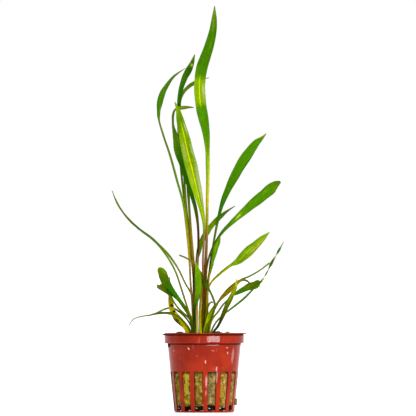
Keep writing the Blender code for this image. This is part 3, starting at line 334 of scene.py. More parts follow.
         ((2.3, 0, 1.4, 0.6, "soot", 0.95), (1.5, 0.95, 1.2, 0.2, "olive", 0.6), (3.6, 0.7, 0.3, 0.5, "soot", 1),
          (4.45, 0.65, 0.28, 0.5, "soot", 1), (2.9, 0.1, 0.7, 0.25, "olive", 0.6), (6.7, 0.5, 0.5, 0.6, "clay", 0.7)),
         ((3.2, -1, 0.2, 0.3),)),
    Leaf("leaf_drooping_left", "leaf_dark", 5, 0.15, 0.15,
         "0 forest, 2 dull_green, 4 forest, 6 forest, 7 dusty, 9 sage, 10 ash",
         ((-8.5, -2.8, 50, 1), (-10.2, -3.2, 53.8, 0.9), (-13, -3.7, 57, 0.9), (-16.2, -4.3, 60.2, 0.9),
          (-19.2, -4.8, 61.9, 1, 20), (-24, -5.4, 62.4, 3.2, 60), (-29, -6, 62.2, 3.6, 64),
          (-34.6, -6.5, 61, 2.4, 72), (-39.9, -6.9, 60.3, 2, 70), (-44.4, -7.2, 58.8, 1.4, 66),
          (-47.8, -7.4, 54.3, 0.5, 60)),
         ("dusty", 0.3, 5.5, 9)),
    Leaf("leaf_thin_arch", "leaf_olive", 7, 0.0, 0.0,
         "0 straw, 2 gold_olive, 3.5 olive, 4.5 dusty, 6 sage",
         ((-7.5, 4.9, 50, 0.9), (-8.8, 5, 55.1, 0.9), (-12.4, 5.1, 60.2, 0.85), (-16.5, 5.3, 63.8, 1),
          (-20.2, 5.4, 65.8, 0.7), (-24.9, 5.5, 65, 0.8), (-29.9, 5.6, 62.6, 0.7))),
    Leaf("stalk_dead", "leaf_dying", 8, 0.0, 0.0,
         "0 ochre, 1.8 brown, 2.4 black_olive, 3.2 black_olive, 4 earth, 5 ochre, 7 olive",
         ((-5.6, -2.3, 50, 0.8), (-6.2, -2.7, 63.9, 0.6), (-6.8, -3.2, 76.9, 0.5), (-7, -3.6, 83.9, 0.5),
          (-6.5, -4, 90.9, 0.5), (-7.6, -4.2, 94.4, 0.6), (-11, -4.4, 96.9, 0.55), (-15.8, -4.5, 99, 0.5))),
)


def linear(code):
    """A linear colour from a name in the palette or a hex code such as #2F6B08."""
    code = PALETTE.get(code, code)
    parts = [int(code[i:i + 2], 16) / 255.0 for i in (1, 3, 5)]
    return [p / 12.92 if p <= 0.04045 else ((p + 0.055) / 1.055) ** 2.4 for p in parts] + [1.0]


def clamp(value, low=0.0, high=1.0):
    return min(max(value, low), high)


def up(height):
    return Vector((0.0, 0.0, height))


def turned(radius, angle, height=0.0):
    """A point of a turned form. The angle is in radians, from the front."""
    return Vector((radius * math.sin(angle), -radius * math.cos(angle), height))


class Nodes:
    """A node tree under construction, with short calls for its nodes."""

    def __init__(self, tree):
        self.tree = tree

    def put(self, socket, value):
        """Link an output to the socket, or set the socket to a plain value."""
        if isinstance(value, bpy.types.NodeSocket):
            self.tree.links.new(value, socket)
        else:
            socket.default_value = value

    def add(self, kind, inputs, output=0, **settings):
        """Add a node, feed its inputs by number or name, and return one of its outputs."""
        made = self.tree.nodes.new(kind)
        for key, value in settings.items():
            setattr(made, key, value)
        for key, value in inputs.items():
            self.put(made.inputs[key], value)
        return made.outputs[output]

    def math(self, operation, first, second=0.0):
        return self.add("ShaderNodeMath", {0: first, 1: second}, operation=operation)

    def plus(self, first, second, times):
        """The first value plus so many times the second."""
        return self.math("ADD", first, self.math("MULTIPLY", second, times))

    def span(self, value, low, high, start=0.0, end=1.0):
        """Map low..high smoothly to start..end."""
        inputs = dict(enumerate((value, low, high, start, end)))
        return self.add("ShaderNodeMapRange", inputs, interpolation_type="SMOOTHSTEP")

    def mix(self, share, first, second, kind="MIX"):
        return self.add("ShaderNodeMix", {0: share, 6: first, 7: second}, 2, data_type="RGBA", blend_type=kind)

    def noise(self, vector, scale, detail=3.0, roughness=0.55):
        inputs = {"Vector": vector, "Scale": scale, "Detail": detail, "Roughness": roughness}
        return self.add("ShaderNodeTexNoise", inputs, "Fac")

    def stretch(self, vector, scale):
        return self.add("ShaderNodeVectorMath", {0: vector, 1: scale}, operation="MULTIPLY")

    def split(self, vector):
        return self.add("ShaderNodeSeparateXYZ", {0: vector}).node.outputs

    def oval(self, first, second, middle, half):
        """Distance from the middle of an oval in two coordinates, 1 at its edge."""
        squares = []
        for value, centre, reach in zip((first, second), middle, half):
            offset = self.math("DIVIDE", self.math("SUBTRACT", value, centre), max(reach, 1e-5))
            squares.append(self.math("MULTIPLY", offset, offset))
        return self.math("SQRT", self.math("ADD", *squares))

    def ramp(self, value, stops):
        made = self.add("ShaderNodeValToRGB", {0: value})
        elements = made.node.color_ramp.elements
        while len(elements) < len(stops):
            elements.new(0.5)
        for element, (position, colour) in zip(elements, stops):
            element.position = position
            element.color = colour
        return made

    def grade(self, tint, value, *stops):
        """Multiply the tint by the colours of a ramp."""
        return self.mix(1.0, tint, self.ramp(value, stops), "MULTIPLY")


class Shader(Nodes):
    """A material under construction."""

    def __init__(self, name):
        self.material = bpy.data.materials.new(name)
        self.material.use_nodes = True
        super().__init__(self.material.node_tree)
        self.bsdf = self.tree.nodes["Principled BSDF"]
        self.place = self.add("ShaderNodeTexCoord", {}, "Object")

    def finish(self, colour, rough, gloss, bump=(), **others):
        """Set the surface. A bump is its height, strength and distance."""
        sockets = {"Base Color": colour, "Roughness": rough, "Specular IOR Level": gloss}
        if bump:
            sockets["Normal"] = self.add("ShaderNodeBump", dict(zip(("Height", "Strength", "Distance"), bump)))
        for name, value in others.items():
            sockets[name.replace("_", " ")] = value
        for name, value in sockets.items():
            self.put(self.bsdf.inputs[name], value)
        return self.material


def mottled_material(name, dark, light, rough_low, rough_high, gloss, bump):
    """Two colours that a fine noise mixes, on a rough surface."""
    shader = Shader(name)
    fine = shader.noise(shader.place, 900.0)
    tint = shader.mix(shader.span(fine, 0.38, 0.62), linear(dark), linear(light))
    return shader.finish(tint, shader.span(fine, 0.3, 0.7, rough_low, rough_high), gloss, (fine, bump, 0.0002))


def make_piece(node, slot, mesh, *materials):
    """Add a piece that rides on the only body and stands for a CAD node. Its slot is not used."""
    piece = bpy.data.objects.new("look_" + node, mesh)
    bpy.context.scene.collection.objects.link(piece)
    for material in materials:
        mesh.materials.append(material)
    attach(piece, "root")
    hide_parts(node)
    return piece


def finished(name, form):
    """The smooth mesh of a closed form, with its normals outward."""
    bmesh.ops.recalc_face_normals(form, faces=form.faces)
    mesh = bpy.data.meshes.new(name)
    form.to_mesh(mesh)
    form.free()
    mesh.shade_smooth()
    return mesh


# Leaves

def row_at(rows, knots, slopes, distance):
    """The row at a distance along the leaf, on a cubic through all rows, and its row number."""
    i = clamp(int(np.searchsorted(knots, distance)) - 1, 0, len(knots) - 2)
    span = knots[i + 1] - knots[i]
    t = (distance - knots[i]) / span
    back = 1.0 - t
    start = rows[i] * (1.0 + 2.0 * t) * back ** 2 + slopes[i] * span * t * back ** 2
    end = rows[i + 1] * t ** 2 * (3.0 - 2.0 * t) - slopes[i + 1] * span * t ** 2 * back
    return start + end, i + t


def ring_point(angle, half_width, flat, fold, ripple):
    """Place of a ring point across the leaf and out of its plane, from a round stalk to a thin blade."""
    u = math.cos(angle)
    side = math.sin(angle)
    edge = 1.0 - min(abs(u), 1.0)
    thick = BLADE_EDGE + (BLADE_MID - BLADE_EDGE) * (1.0 - u * u)
    lens = 0.5 * thick * math.copysign(abs(side) ** 0.6, side)
    groove = GROOVE_DEPTH * math.exp(-((u * half_width) / GROOVE_WIDTH) ** 2)
    veins = VEIN_HEIGHT * math.cos(abs(u) * 5.0 * math.pi) * min(1.0, 4.0 * edge)
    shape = lens + fold * abs(u) * half_width - groove + veins + ripple(u)
    return half_width * u, (1.0 - flat) * half_width * side + flat * shape


def whole_share(bites, number, across):
    """The share of the leaf's width that is left at a row number, on the side that across is on."""
    share = 1.0
    for row, side, depth, length in bites:
        if side * across >= 0.0:
            share -= depth * math.exp(-((number - row) / length) ** 2)
    return max(share, 0.15)


def leaf_mesh(leaf, seed):
    """Loft the leaf from below its foot to its tip, with its length and width in the UV map."""
    rng = random.Random(seed)
    rows = np.array([row + (0.0,) * (5 - len(row)) for row in leaf.rows], dtype=float)
    foot = rows[0].copy()
    foot[2] -= FOOT_DEPTH
    foot[3] *= FOOT_SWELL
    rows = np.vstack((foot, rows))
    knots = np.concatenate(([0.0], np.cumsum(np.linalg.norm(np.diff(rows[:, :3], axis=0), axis=1))))
    slopes = np.gradient(rows, knots, axis=0)
    count = max(int(knots[-1] / STATION_STEP), 8)
    phases = [rng.uniform(0.0, 6.28) for _ in range(6)]
    places = [knots[-1] * k / count for k in range(count + 1)]
    stations = [row_at(rows, knots, slopes, place) for place in places]
    centres = [Vector(row[:3]) for row, _ in stations]
    loft = bmesh.new()
    uv_layer = loft.loops.layers.uv.new("leaf")
    rings = []
    for k, (row, number) in enumerate(stations):
        tangent = (centres[min(k + 1, count)] - centres[max(k - 1, 0)]).normalized() if k else up(1.0)
        across = Vector((0.0, 1.0, 0.0)).cross(tangent).normalized()
        across.rotate(Matrix.Rotation(math.radians(row[4]), 3, tangent))
        facing = across.cross(tangent).normalized()
        flat = clamp(number - leaf.blade)
        flat = flat * flat * (3.0 - 2.0 * flat)
        thickened = max(row[3], THINNEST) + 0.6 * max(0.0, THIN_STALK - row[3]) * (1.0 - flat)
        half_width = thickened / 2.0 * (STALK_SWELL + (1.0 - STALK_SWELL) * flat)
        reach = places[k]

        def ripple(u):
            side = 0 if u < 0 else 1
            swing = math.sin(reach * 0.4 + phases[side]) + 0.35 * math.sin(reach * 0.9 + phases[side + 2])
            sway = 0.35 * math.sin(reach * 0.23 + phases[4])
            return leaf.wave * (u * u * swing * 0.6 + sway) * min(half_width / 2.0, 1.0)

        grow = 1.0 + 0.012 * math.sin(reach * 0.4 + phases[5]) * flat
        ring = []
        for j in range(RING_POINTS):
            angle = 2.0 * math.pi * j / RING_POINTS
            kept = half_width * grow * whole_share(leaf.bites, number - 1.0, math.cos(angle))
            width, rise = ring_point(angle, kept, flat, leaf.fold, ripple)
            ring.append(loft.verts.new((centres[k] + across * width + facing * rise) * MM))
        rings.append(ring)
    for k, (low, high) in enumerate(zip(rings, rings[1:])):
        for j in range(RING_POINTS):
            after = (j + 1) % RING_POINTS
            face = loft.faces.new((low[j], low[after], high[after], high[j]))
            for loop, turn, station in zip(face.loops, (j, after, after, j), (k, k, k + 1, k + 1)):
                u = 0.5 + 0.5 * math.cos(2.0 * math.pi * turn / RING_POINTS)
                loop[uv_layer].uv = (places[station] / knots[-1], u)
    loft.faces.new(rings[0])
    loft.faces.new(rings[-1])
    return finished(leaf.name, loft), knots


def leaf_material(leaf, knots):
    """Tints along the leaf, its midrib and its own marks, some of them painted sheen and glints, fine stripes and
    mottling, and a satin gloss.
    """

    def along(number):
        return float(np.interp(number + 1.0, range(len(knots)), knots) / knots[-1])

    shader = Shader(leaf.name)
    uv = shader.add("ShaderNodeUVMap", {}, uv_map="leaf")
    length, width, _ = shader.split(uv)
    mottle = shader.noise(shader.place, 420.0, 4.0, 0.6)
    specks = shader.noise(shader.place, 900.0, 2.0, 0.6)
    stripes = shader.noise(shader.stretch(uv, (22.0, 9.0, 1.0)), 1.0, 3.0, 0.6)
    tints = [tint.split() for tint in leaf.tints.split(",")]
    tint = shader.ramp(length, [(along(float(number)), linear(colour)) for number, colour in tints])
    if leaf.rib:
        colour, strength, first, last = leaf.rib
        centre = shader.math("ABSOLUTE", shader.math("SUBTRACT", width, 0.5))
        start = shader.span(length, along(first - 0.4), along(first + 0.4))
        stop = shader.span(length, along(last - 0.4), along(last + 0.4), 1.0, 0.0)
        line = shader.span(centre, 0.02, 0.07, strength, 0.0)
        line = shader.math("MULTIPLY", line, shader.math("MULTIPLY", start, stop))
        tint = shader.mix(line, tint, linear(colour))
    # Marks: colour spots, and pale ones that are painted sheen and glints
    for number, middle, half_rows, half_width, colour, strength in leaf.marks:
        half_length = (along(number + half_rows) - along(number - half_rows)) / 2.0
        oval = shader.oval(length, width, (along(number), middle), (half_length, half_width))
        frayed = shader.plus(shader.plus(oval, stripes, 0.9), specks, 1.6)
        tint = shader.mix(shader.span(frayed, 1.6, 2.2, strength, 0.0), tint, linear(colour))
    tint = shader.grade(tint, mottle, (0.3, [0.64, 0.64, 0.3, 1]), (0.7, [0.86, 0.82, 0.6, 1]))
    tint = shader.grade(tint, stripes, (0.35, [0.84, 0.87, 0.8, 1]), (0.65, [1.14, 1.1, 1.1, 1]))
    bump = (shader.plus(stripes, mottle, 0.5), 0.35, 0.00015)
    return shader.finish(tint, shader.span(mottle, 0.3, 0.75, 0.32, 0.5), 0.03, bump,
                         Specular_Tint=(0.6, 1.0, 0.1, 1.0))


def make_leaf(leaf, seed):
    mesh, knots = leaf_mesh(leaf, seed)
    make_piece(leaf.name, leaf.slot, mesh, leaf_material(leaf, knots))


# Pot

def wall_radius(height):
    return FOOT_RADIUS + (NECK_RADIUS - FOOT_RADIUS) * height / BAND_BOTTOM


HALF_RIB = math.degrees(math.asin(RIB_WIDTH / 2.0 / wall_radius(13.0)))


def off_slot(angle):
    """How far an angle is from the middle of its slot."""
    return abs((angle - FIRST_RIB) % PITCH - PITCH / 2.0)


def off_hole(angle):
    """How far an angle is from the middle of the lace hole."""
    return (angle - HOLE_ANGLE + 180.0) % 360.0 - 180.0


def pot_rows():
    """Pairs of an outer and an inner point, as radius and height, from the lip to the middle of the floor."""
    inner_band = BAND_RADIUS - WALL
    pairs = [((26.4, 50.0), (24.4, 50.0)), ((26.6, 49.85), (24.15, 49.85)), ((26.6, 49.5), (24.1, 49.6)),
             ((25.3, 49.3), (24.1, 49.4)), ((24.75, 49.2), (24.1, 49.2)), ((24.7, 48.9), (24.05, 48.9)),
             ((25.05, 48.65), (24.1, 48.65))]
    pairs += [((BAND_RADIUS + 0.05, z), (inner_band, z)) for z in (48.45, 48.2, 47.2, 46.2, 45.2, 44.45, 44.2)]
    pairs += [((25.05, 43.95), (inner_band, 44.1)), ((24.85, 43.65), (23.6, 44.0)), ((23.7, 43.55), (22.6, 43.7)),
              ((23.1, 43.3), (22.3, 43.2))]
    heights = [HOLE_TOP, HOLE_BOTTOM, 39.5, 37.0, 34.0, 31.0, 28.0, 26.6]
    heights += [SLOT_TOP + (SLOT_BOTTOM - SLOT_TOP) * k / 14.0 for k in range(15)]
    pairs += [((wall_radius(z), z), (wall_radius(z) - WALL, z)) for z in heights]
    pairs += [((18.45, 0.45), (17.3, 1.0)), ((18.35, 0.1), (17.1, 1.0)), ((18.1, 0.0), (16.9, 1.0))]
    return pairs + [((r, 0.0), (r, 1.0)) for r in (15.0, 12.2, 9.4, 6.5, 4.0, 1.5)]


def pot_columns():
    """Angles of the columns: four across each rib and nine across the slot after it."""
    steps = [HALF_RIB * share for share in (-1.0, -0.5, 0.0, 0.5)]
    steps += [HALF_RIB + (PITCH - 2.0 * HALF_RIB) * (k / 9.0) for k in range(9)]
    return [FIRST_RIB + rib * PITCH + step for rib in range(RIB_COUNT) for step in steps]


def is_open(angle, height, radius):
    """True inside a side slot, a drain or the lace hole."""
    if SLOT_BOTTOM < height < SLOT_TOP and off_slot(angle) < PITCH / 2.0 - HALF_RIB:
        return True
    from_drain = abs((angle - DRAIN_PITCH / 2.0) % DRAIN_PITCH - DRAIN_PITCH / 2.0)
    if height < 0.01 and 6.5 < radius < 15.0 and 12.0 < from_drain:
        return True
    return HOLE_BOTTOM < height < HOLE_TOP and abs(off_hole(angle)) < HOLE_HALF


def pot_point(radius, height, angle):
    """A point of the wall, a little out of round, with the lip drooping at the left."""
    turn = math.radians(angle)
    wobble = 0.07 * math.sin(3.0 * turn + 0.7) + 0.04 * math.sin(7.0 * turn)
    reach = radius + (wobble - 0.1) * min(radius / 20.0, 1.0) * (0.0 if height < 1.5 else 1.0)
    droop = clamp((-reach * math.sin(turn) - DROOP_START) / DROOP_REACH) if radius > DROOP_RADIUS else 0.0
    return turned(reach, turn, height - droop * droop)


def pot_mesh():
    """The wall as an outer and an inner grid, joined round each opening."""
    pairs = pot_rows()
    columns = pot_columns()
    count = len(columns)
    shell = bmesh.new()
    outer, inner = [[[shell.verts.new(pot_point(*pair[side], angle) * MM) for angle in columns] for pair in pairs]
                    for side in (0, 1)]
    middles = [columns[j] + (columns[(j + 1) % count] - columns[j]) % 360.0 / 2.0 for j in range(count)]
    opened = [[is_open(middle, (high[1] + low[1]) / 2.0, (high[0] + low[0]) / 2.0) for middle in middles]
              for (high, _), (low, _) in zip(pairs, pairs[1:])]
    for k, row in enumerate(opened):
        for j, gap in enumerate(row):
            after = (j + 1) % count
            corners = [(outer[r][c], inner[r][c]) for r, c in ((k, j), (k + 1, j), (k + 1, after), (k, after))]
            if not gap:
                shell.faces.new([corner[0] for corner in corners])
                shell.faces.new([corner[1] for corner in reversed(corners)])
                continue
            beside = ((0, row[j - 1]), (2, row[after]), (3, opened[k - 1][j]), (1, opened[k + 1][j]))
            for edge, gap_beside in beside:
                if not gap_beside:
                    first, second = corners[edge], corners[(edge + 1) % 4]
                    shell.faces.new((first[0], first[1], second[1], second[0]))
    for j in range(count):
        after = (j + 1) % count
        shell.faces.new((inner[0][j], outer[0][j], outer[0][after], inner[0][after]))
    shell.faces.new(outer[-1])
    shell.faces.new(inner[-1])
    bmesh.ops.delete(shell, geom=[v for v in shell.verts if not v.link_faces], context="VERTS")
    return finished("pot_shell", shell)


# Pale marks on the front of the pot, partly dried water marks and partly painted highlights of glints: x, z, half
# width, half height, tilt, and how strongly they show
POT_MARKS_AND_GLINTS = (
    (-10.0, 40.3, 0.5, 1.1, -35, 0.75), (-19.2, 38.9, 0.45, 0.6, 10, 0.4), (14.2, 40.9, 0.7, 0.5, 0, 0.6),
    (14.6, 37.6, 0.4, 0.9, 0, 0.6), (0.7, 32.0, 0.5, 1.5, 0, 0.55), (7.6, 27.6, 0.6, 1.8, 8, 0.5),
    (7.6, 22.5, 0.8, 4.6, 4, 0.45), (1.2, 19.6, 0.8, 4.4, 0, 0.4), (1.0, 12.5, 0.5, 2.2, 0, 0.3),
    (17.8, 36.0, 0.9, 6.0, 6, 0.22), (-4.6, 35.5, 0.35, 0.5, 0, 0.25), (5.3, 39.0, 1.4, 0.4, 14, 0.2),
)

# Heights of the grooves under the lip and under the band, which get a painted shadow, and of the matt lip, in metres
SHADED_SEAMS = ((0.0487, 0.0493), (0.0428, 0.0434))
LIP_FOOT = 0.0491


def pot_material():
    shader = Shader("pot_plastic")
    place = shader.place
    across, depth, height = shader.split(place)
    red = shader.mix(shader.span(shader.noise(place, 70.0), 0.35, 0.65), linear("#841A03"), linear("#9A2606"))
    front = shader.span(depth, -0.004, 0.0, 1.0, 0.0)
    ragged = shader.noise(place, 900.0)
    film = shader.span(shader.noise(shader.stretch(place, (1.0, 1.0, 0.3)), 260.0, 4.0), 0.62, 0.75)
    stain_and_glint = shader.math("MULTIPLY", film, 0.1)
    for x, z, half_x, half_z, tilt, strength in POT_MARKS_AND_GLINTS:
        spot = shader.add("ShaderNodeMapping", {
            "Vector": place, "Location": (x * MM, 0.0, z * MM), "Rotation": (0.0, math.radians(tilt), 0.0),
            "Scale": (half_x * MM, 1.0, half_z * MM)}, vector_type="TEXTURE")
        reach = shader.add("ShaderNodeVectorMath", {0: spot}, "Value", operation="LENGTH")
        shape = shader.span(shader.plus(reach, ragged, 0.9), 0.9, 1.5, strength, 0.0)
        stain_and_glint = shader.math("MAXIMUM", stain_and_glint, shader.math("MULTIPLY", shape, front))
    # Pale pink on the front: a faint film and dried water marks, partly painted highlights of glints on the ribs
    red = shader.mix(stain_and_glint, red, linear("#E8C4BC"))
    # Painted shadow: near-black rings in the grooves under the lip and under the band, matt there
    seam_shadow = 0.0
    for low, high in SHADED_SEAMS:
        below = shader.span(height, low - 0.0002, low + 0.0001)
        above = shader.span(height, high - 0.0001, high + 0.0002, 1.0, 0.0)
        seam_shadow = shader.math("MAXIMUM", shader.math("MULTIPLY", below, above), seam_shadow)
    red = shader.mix(seam_shadow, red, linear("#240201"))
    # Painted shadow: a near-black spot round the lace hole, matt there
    hole = shader.oval(across, height, (-0.0229, 0.0421), (0.0015, 0.0011))
    hole = shader.math("MULTIPLY", shader.span(hole, 0.9, 1.15, 1.0, 0.0), front)
    red = shader.mix(hole, red, linear("#080101"))
    rough = shader.plus(shader.span(shader.noise(place, 350.0), 0.3, 0.7, 0.1, 0.14), stain_and_glint, 0.3)
    rough = shader.math("ADD", rough, shader.span(height, LIP_FOOT, LIP_FOOT + 0.0003, 0.0, 0.4))
    rough = shader.plus(rough, shader.math("MAXIMUM", seam_shadow, hole), 0.7)
    bump = (shader.math("ADD", shader.noise(place, 300.0, 2.0), stain_and_glint), 0.03, 0.0001)
    return shader.finish(red, rough, 0.12, bump)


def make_pot():
    pot = make_piece("net_pot", "pot_plastic", pot_mesh(), pot_material())
    edges = pot.modifiers.new("edges", "BEVEL")
    edges.width = 0.13 * MM
    edges.segments = 2
    edges.limit_method = "ANGLE"
    edges.angle_limit = math.radians(40.0)
    edges.harden_normals = True


# Strands

class Strands:
    """Many thin closed tubes gathered into one mesh."""

    def __init__(self):
        self.points = []
        self.faces = []

    def tube(self, path, radii, sides=3):
        """Add a tube along a path of millimetre points, with one radius or a radius at each point."""
        if isinstance(radii, float):
            radii = [radii] * len(path)
        first = len(self.points)
        last = len(path) - 1
        for k, (point, radius) in enumerate(zip(path, radii)):
            tangent = (path[min(k + 1, last)] - path[max(k - 1, 0)]).normalized()
            side = tangent.cross(Vector((0.21, 0.13, 0.97)))
            side = side.normalized() if side.length > 0.001 else Vector((1.0, 0.0, 0.0))
            out = side.cross(tangent)
            for j in range(sides):
                angle = 2.0 * math.pi * j / sides
                corner = point + side * (radius * math.cos(angle)) + out * (radius * math.sin(angle))
                self.points.append(corner * MM)
        for k in range(last):
            for j in range(sides):
                low = first + k * sides
                after = (j + 1) % sides
                self.faces.append((low + j, low + after, low + sides + after, low + sides + j))
        self.faces.append(tuple(first + j for j in reversed(range(sides))))
        self.faces.append(tuple(first + last * sides + j for j in range(sides)))

    def leaflet(self, foot, tip, side):
        """Add a thin closed blade from its foot to its tip."""
        first = len(self.points)
        middle = (foot + tip) / 2.0
        lift = (tip - foot).cross(side).normalized() * side.length * 0.35
        self.points += [p * MM for p in (foot, middle + side, middle - side, tip, middle + lift, middle - lift)]
        for a, b in ((0, 1), (1, 3), (3, 2), (2, 0)):
            self.faces += [(first + a, first + b, first + 4), (first + b, first + a, first + 5)]


def joined(name, base, strands, second=None):
    """One mesh of a base form and the strands on it, whose faces from the second on take the second material."""
    start = len(base.faces)
    extra = bpy.data.meshes.new(name)
    extra.from_pydata(strands.points, [], strands.faces)
    extra.shade_smooth()
    base.from_mesh(extra)
    bpy.data.meshes.remove(extra)
    mesh = finished(name, base)
    if second is not None:
        for face in mesh.polygons[start + second:]:
            face.material_index = 1
    return mesh


def lathe(rows, columns, shift):
    """A closed turned form. Shift moves each point of the grid, given its radius, height and angle."""
    form = bmesh.new()
    rings = [[form.verts.new(shift(radius, height, 2.0 * math.pi * j / columns) * MM) for j in range(columns)]
             for radius, height in rows]
    for low, high in zip(rings, rings[1:]):
        for j in range(columns):
            after = (j + 1) % columns
            form.faces.new((low[j], low[after], high[after], high[j]))
    form.faces.new(rings[0])
    form.faces.new(rings[-1])
    return form


# Rockwool

def wool_radius(angle, height):
    """The plug's radius, which bulges into the slots, without its roughness. The angle is in radians."""
    in_slot = clamp((SLOT_TOP - height) / 2.0) * clamp((height - WOOL_BOTTOM) / 1.5)
    bulge = max(0.0, 1.0 - (off_slot(math.degrees(angle)) / 7.1) ** 2) ** 0.35
    return wall_radius(height) - WOOL_INSET + 1.15 * bulge * in_slot


def wool_point(radius, height, angle):
    """A point of the plug: on its side the radius comes from the angle, on its ends from the row."""
    on_side = WOOL_BOTTOM + 0.1 < height < WOOL_TOP - 1.5
    spot = turned(wool_radius(angle, height) if on_side else radius, angle, height)
    rough = 0.22 * noise.noise(spot * 0.45) + 0.2 * noise.noise(spot * 1.3) + 0.1 * noise.noise(spot * 3.1)
    if height > WOOL_TOP - 1.5:
        lumps = 0.7 * noise.noise(spot * 0.3) + 0.5 * rough - 0.5
        return spot + up(min(lumps, 0.1))
    from_hole = off_hole(math.degrees(angle))
    hollow = 3.0 * math.exp(-(from_hole / 9.0) ** 2 - ((height - 42.0) / 1.9) ** 2)
    return spot + turned(1.0, angle) * (rough - 0.12 - hollow)


# Pale threads that stand out in two slots, as x and z on the front of the plug
THREADS = (
    ((-5.6, 18.9), (-5.1, 18.5), (-4.5, 17.6), (-3.9, 16.6), (-3.3, 15.6), (-2.9, 15.0)),
    ((2.3, 15.0), (2.9, 15.9), (3.8, 15.8), (4.3, 14.9), (4.9, 14.2), (5.6, 14.4)),
    ((2.6, 13.2), (3.6, 13.7), (4.8, 13.3), (5.8, 13.4)),
    ((-13.0, 9.4), (-12.4, 8.2), (-12.6, 7.0), (-11.8, 6.0)),
)


def wool_fibres(rng):
    """Fibres that lie on the plug in the slots, hang below it and lie over its top, and the threads."""
    strands = Strands()
    pitch = 2.0 * math.pi / RIB_COUNT

    def slot_middle():
        return math.radians(FIRST_RIB) + (rng.randrange(RIB_COUNT) + 0.5) * pitch

    for _ in range(1500):
        middle = slot_middle()
        angle = middle + rng.uniform(-0.1, 0.1)
        height = rng.uniform(WOOL_BOTTOM + 0.6, SLOT_TOP - 0.4)
        heading = rng.uniform(0.0, 2.0 * math.pi)
        path = []
        for _ in range(6):
            path.append(turned(wool_radius(angle, height) + rng.uniform(-0.05, 0.12), angle, height))
            heading += rng.uniform(-0.6, 0.6)
            angle = clamp(angle + math.cos(heading) * 0.028, middle - 0.118, middle + 0.118)
            height = clamp(height + math.sin(heading) * 0.6, WOOL_BOTTOM + 0.3, SLOT_TOP - 0.2)
        strands.tube(path, rng.uniform(0.035, 0.085))
    for _ in range(420):
        angle = slot_middle() + rng.uniform(-0.12, 0.12)
        length = 1.7 * clamp(0.5 + 1.6 * noise.noise(Vector((angle * 2.3, 4.0, 1.0)))) * rng.uniform(0.4, 1.0)
        path = []
        for k in range(4):
            reach = wool_radius(angle, WOOL_BOTTOM + 1.5) - rng.uniform(0.2, 0.7)
            path.append(turned(reach, angle, WOOL_BOTTOM + 0.6 - (length + 0.6) * k / 3.0))
            angle += rng.uniform(-0.012, 0.012)
        strands.tube(path, rng.uniform(0.05, 0.1))
    for thread in THREADS:
        path = []
        for x, z in thread:
            reach = wool_radius(math.asin(x / wall_radius(z)), z) + 0.08
            path.append(Vector((x, -math.sqrt(reach * reach - x * x), z)))
        strands.tube(path, 0.16, 5)
    for _ in range(1600):
        spread = 21.0 * math.sqrt(rng.random())
        spot = turned(spread, rng.uniform(0.0, 2.0 * math.pi), WOOL_TOP - 0.6)
        heading = rng.uniform(0.0, 2.0 * math.pi)
        path = []
        for k in range(6):
            path.append(spot + up(0.45 * math.sin(math.pi * k / 5.0) + rng.uniform(-0.05, 0.1)))
            heading += rng.uniform(-0.7, 0.7)
            spot = spot + Vector((math.cos(heading), math.sin(heading), 0.0)) * 0.75
            if spot.xy.length > 21.3:
                spot.xy = spot.xy.normalized() * 21.3
        strands.tube(path, rng.uniform(0.04, 0.08))
    return strands


# Tints of the wool across the front, to 21 mm on either side: x and the colour that prevails there
WOOL_REACH = 0.021
WOOL_TINTS = ((-20.0, "#6E6C08"), (-17.0, "#86800C"), (-12.5, "#C8AC0C"), (-9.5, "#A89410"), (-6.0, "#866A14"),
              (-2.0, "#987A26"), (1.0, "#867044"), (5.5, "#967E4C"), (10.0, "#AC8E16"), (13.0, "#B2924A"),
              (19.0, "#98783C"))


def wool_tint(shader, across):
    """The tint that prevails at a place across the front of the plug."""
    share = shader.math("DIVIDE", shader.math("ADD", across, WOOL_REACH), 2.0 * WOOL_REACH)
    return shader.ramp(share, [((x * MM + WOOL_REACH) / (2.0 * WOOL_REACH), linear(code)) for x, code in WOOL_TINTS])


def wool_material():
    """Matted wool: yellow on the left and tan on the right, with dark wet patches and a painted shadow from just
    under the top of the slots upward.
    """
    shader = Shader("rockwool")
    place = shader.place
    across, _, height = shader.split(place)
    fine = shader.noise(place, 1100.0, 4.0, 0.65)
    lumps = shader.noise(shader.stretch(place, (1.0, 1.0, 0.7)), 420.0, 3.0, 0.6)
    tint = shader.grade(wool_tint(shader, across), fine, (0.36, [0.42, 0.38, 0.15, 1]), (0.64, [1.3, 1.28, 1.0, 1]))
    tint = shader.mix(shader.span(lumps, 0.53, 0.36, 0.0, 0.9), tint, linear("#2E2206"))
    tint = shader.mix(shader.span(lumps, 0.56, 0.68, 0.0, 0.5), tint, linear("#D8C488"))
    # Painted shadow: darker from just under the top of the slots upward, where the wall shades the wool
    top = shader.span(shader.plus(height, lumps, 0.004), 0.0258, 0.0274, 0.0, 0.85)
    tint = shader.mix(top, tint, linear("#1E1C06"))
    return shader.finish(tint, shader.span(fine, 0.3, 0.7, 0.8, 1.0), 0.1, (fine, 0.8, 0.0004))


def fibre_material():
    """Fibres in the tints of the wool, some bleached and some dark with wet."""
    shader = Shader("wool_fibres")
    across, _, _ = shader.split(shader.place)
    fine = shader.noise(shader.place, 500.0, 2.0)
    tint = shader.mix(shader.span(fine, 0.52, 0.64, 0.0, 0.55), wool_tint(shader, across), linear("#E2D6A4"))
    tint = shader.mix(shader.span(fine, 0.34, 0.46, 0.75, 0.0), tint, linear("#3A3008"))
    return shader.finish(tint, shader.span(fine, 0.3, 0.7, 0.7, 0.9), 0.1, (fine, 0.2, 0.0001))


